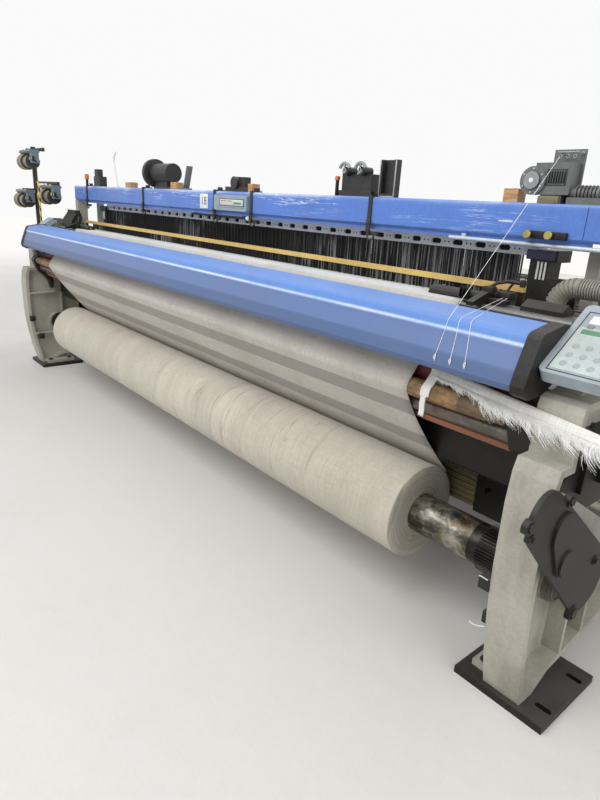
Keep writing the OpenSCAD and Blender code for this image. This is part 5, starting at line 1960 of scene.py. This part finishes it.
@dataclass
class FeederDetails(Fittings):
    """Rims, drums and knobs of the three weft feeders."""

    places: tuple[Spot, ...] = ((-2640, 190, 1600), (-2840, 190, 1290), (-2330, 240, 1335))
    radius: float = 62.0

    def post(self) -> Piece:
        """Return the striped post that stands at the left end of the cover."""
        return self.blocks("striped_post", WARNING, "feeder_plastic",
                           [((-2328, -2296), (138, 146), (1092, 1449))], rounding=1.0)

    def build(self) -> list[Piece]:
        """Return the rims, the drums' yarn, the eyes, the knobs and the striped post."""
        rims, yarn, knobs, faces, eyes = [], [], [], [], []
        for x, y, z in self.places:
            rims += [((x - 64, y, z), 6, self.radius + 2.5, Along.X, 48),
                     ((x - 150, y, z), 8, self.radius + 2.0, Along.X, 48)]
            yarn += [((x - 30 + 9 * k, y, z), 7, self.radius - 14.2, Along.X, 40) for k in range(9)]
            knobs += [((x - 100, y - 14, z + 86), 9, 8, Along.Z, 20),
                      ((x + 40, y - 14, z + 86), 9, 8, Along.Z, 20)]
            knobs += [((x + 96 + 44 * k, y - 30, z + 20), 6, 13, Along.Y, 24) for k in range(2)]
            faces += [((x - 58, y, z), 1.2, self.radius - 1.5, Along.X, 48),
                      ((x - 142, y, z), 1.2, self.radius - 1.5, Along.X, 48)]
            eyes += [((x + 78, x + 162), (y - 24, y - 8), (z + 2, z + 38))]
        return [
            self.rods("feeder_rims", YELLOW, "feeder_plastic", rims, rounding=1.2),
            self.rods("feeder_faces", GREY_STEEL, "bare_steel", faces),
            self.rods("feeder_yarn", DRUM_YARN, "yarn", yarn, rounding=2.0),
            self.blocks("feeder_eye_bars", BLACK_PLASTIC, "black_plastic", eyes, rounding=3.0),
            self.post(),
            self.rods("feeder_knobs", YELLOW, "feeder_plastic", knobs, rounding=2.0),
        ]


class Studio:
    """Floor, lamps, white surroundings and the camera of the photograph."""

    focal: float = 579.80
    yaw: float = 49.190
    pitch: float = 18.709
    roll: float = 3.2185
    sensor: float = 36.0
    picture: float = 800.0
    place: Spot = (2.8084, -2.1623, 1.3909)

    def camera(self) -> None:
        """Set the camera where the photograph was taken."""
        yaw, pitch, roll = (math.radians(value) for value in (self.yaw, self.pitch, self.roll))
        ahead = Vector((-math.sin(yaw) * math.cos(pitch), math.cos(yaw) * math.cos(pitch), -math.sin(pitch)))
        level = Vector((math.cos(yaw), math.sin(yaw), 0))
        up = level.cross(ahead)
        right = level * math.cos(roll) + up * math.sin(roll)
        top = up * math.cos(roll) - level * math.sin(roll)
        data = bpy.data.cameras.new("camera")
        data.sensor_width = self.sensor
        data.lens = self.focal * self.sensor / self.picture
        data.clip_end = 60.0
        camera = bpy.data.objects.new("camera", data)
        turn = Matrix((right, top, -ahead)).transposed().to_4x4()
        camera.matrix_world = Matrix.Translation(self.place) @ turn
        link(camera)
        bpy.context.scene.camera = camera

    def lamp(self, name: str, place: Spot, aim: Spot, size: float, power: float) -> None:
        """Add a soft square lamp.

        Args:
            name: Name of the lamp.
            place: Where it hangs.
            aim: Where it points.
            size: Length of its sides.
            power: Its power in watts.
        """
        data = bpy.data.lights.new(name, "AREA")
        data.size = size
        data.energy = power
        lamp = bpy.data.objects.new(name, data)
        lamp.location = place
        lamp.rotation_euler = (Vector(aim) - Vector(place)).to_track_quat("-Z", "Y").to_euler()
        link(lamp)

    def floor(self) -> None:
        """Lay a wide pale floor."""
        flat = bmesh.new()
        bmesh.ops.create_grid(flat, x_segments=2, y_segments=2, size=30.0)
        mesh = bpy.data.meshes.new("floor")
        flat.to_mesh(mesh)
        flat.free()
        mesh.materials.append(self.floor_material())
        floor = bpy.data.objects.new("floor", mesh)
        link(floor)

    def floor_material(self) -> bpy.types.Material:
        """Return a plain pale floor that brightens far from the loom, where the lamps don't reach."""
        material = FLOOR.make()
        w = Wiring(material.node_tree)
        shader = material.node_tree.nodes["Principled BSDF"]
        away = w.add("ShaderNodeVectorMath", {0: w.place()}, operation="LENGTH").outputs["Value"]
        seen = w.add("ShaderNodeLightPath").outputs["Is Camera Ray"]
        glow = w.math("MULTIPLY", w.math("MULTIPLY", w.span(away, 3.0, 14.0), seen), 0.5)
        shader.inputs["Emission Color"].default_value = (1.0, 1.0, 1.0, 1.0)
        w.tree.links.new(glow, shader.inputs["Emission Strength"])
        return material

    def world(self) -> None:
        """Give even light, with white behind the object."""
        world = bpy.data.worlds.new("surroundings")
        world.use_nodes = True
        bpy.context.scene.world = world
        w = Wiring(world.node_tree)
        path = w.add("ShaderNodeLightPath")
        seen = w.math("MAXIMUM", path.outputs["Is Camera Ray"], path.outputs["Is Glossy Ray"])
        seen = w.math("MAXIMUM", seen, path.outputs["Is Transmission Ray"])
        background = world.node_tree.nodes["Background"]
        background.inputs["Color"].default_value = (1.0, 1.0, 1.0, 1.0)
        strength = w.math("ADD", w.math("MULTIPLY", seen, 0.3), 0.66)
        w.tree.links.new(strength, background.inputs["Strength"])

    def build(self) -> None:
        """Set the whole studio."""
        bpy.context.scene.view_settings.view_transform = "Standard"
        self.camera()
        self.floor()
        self.world()
        self.lamp("key_lamp", (0.5, -4.5, 5.2), (0.3, 0.0, 0.8), 4.0, 235.0)
        self.lamp("side_lamp", (6.0, -1.5, 3.4), (1.0, 0.0, 0.9), 3.0, 85.0)
        self.lamp("back_lamp", (-2.5, 4.5, 4.5), (-0.5, 0.3, 0.8), 4.0, 160.0)


def main() -> None:
    """Build the studio, the yarns and every assembly in order."""
    logging.basicConfig(level=logging.INFO, format="%(name)s: %(message)s")
    Studio().build()
    WeftYarns().build()
    Castings().build()
    for assembly in (WovenCloth(), Packages(), WasteTape(), HealdWires(), BeamFittings(), SelvedgeDevices(),
                     PanelPrint(), FrontDetails(), FeederDetails()):
        assembly.build()
        LOG.info("%s is complete", type(assembly).__name__)


if __name__ == "__main__":
    main()
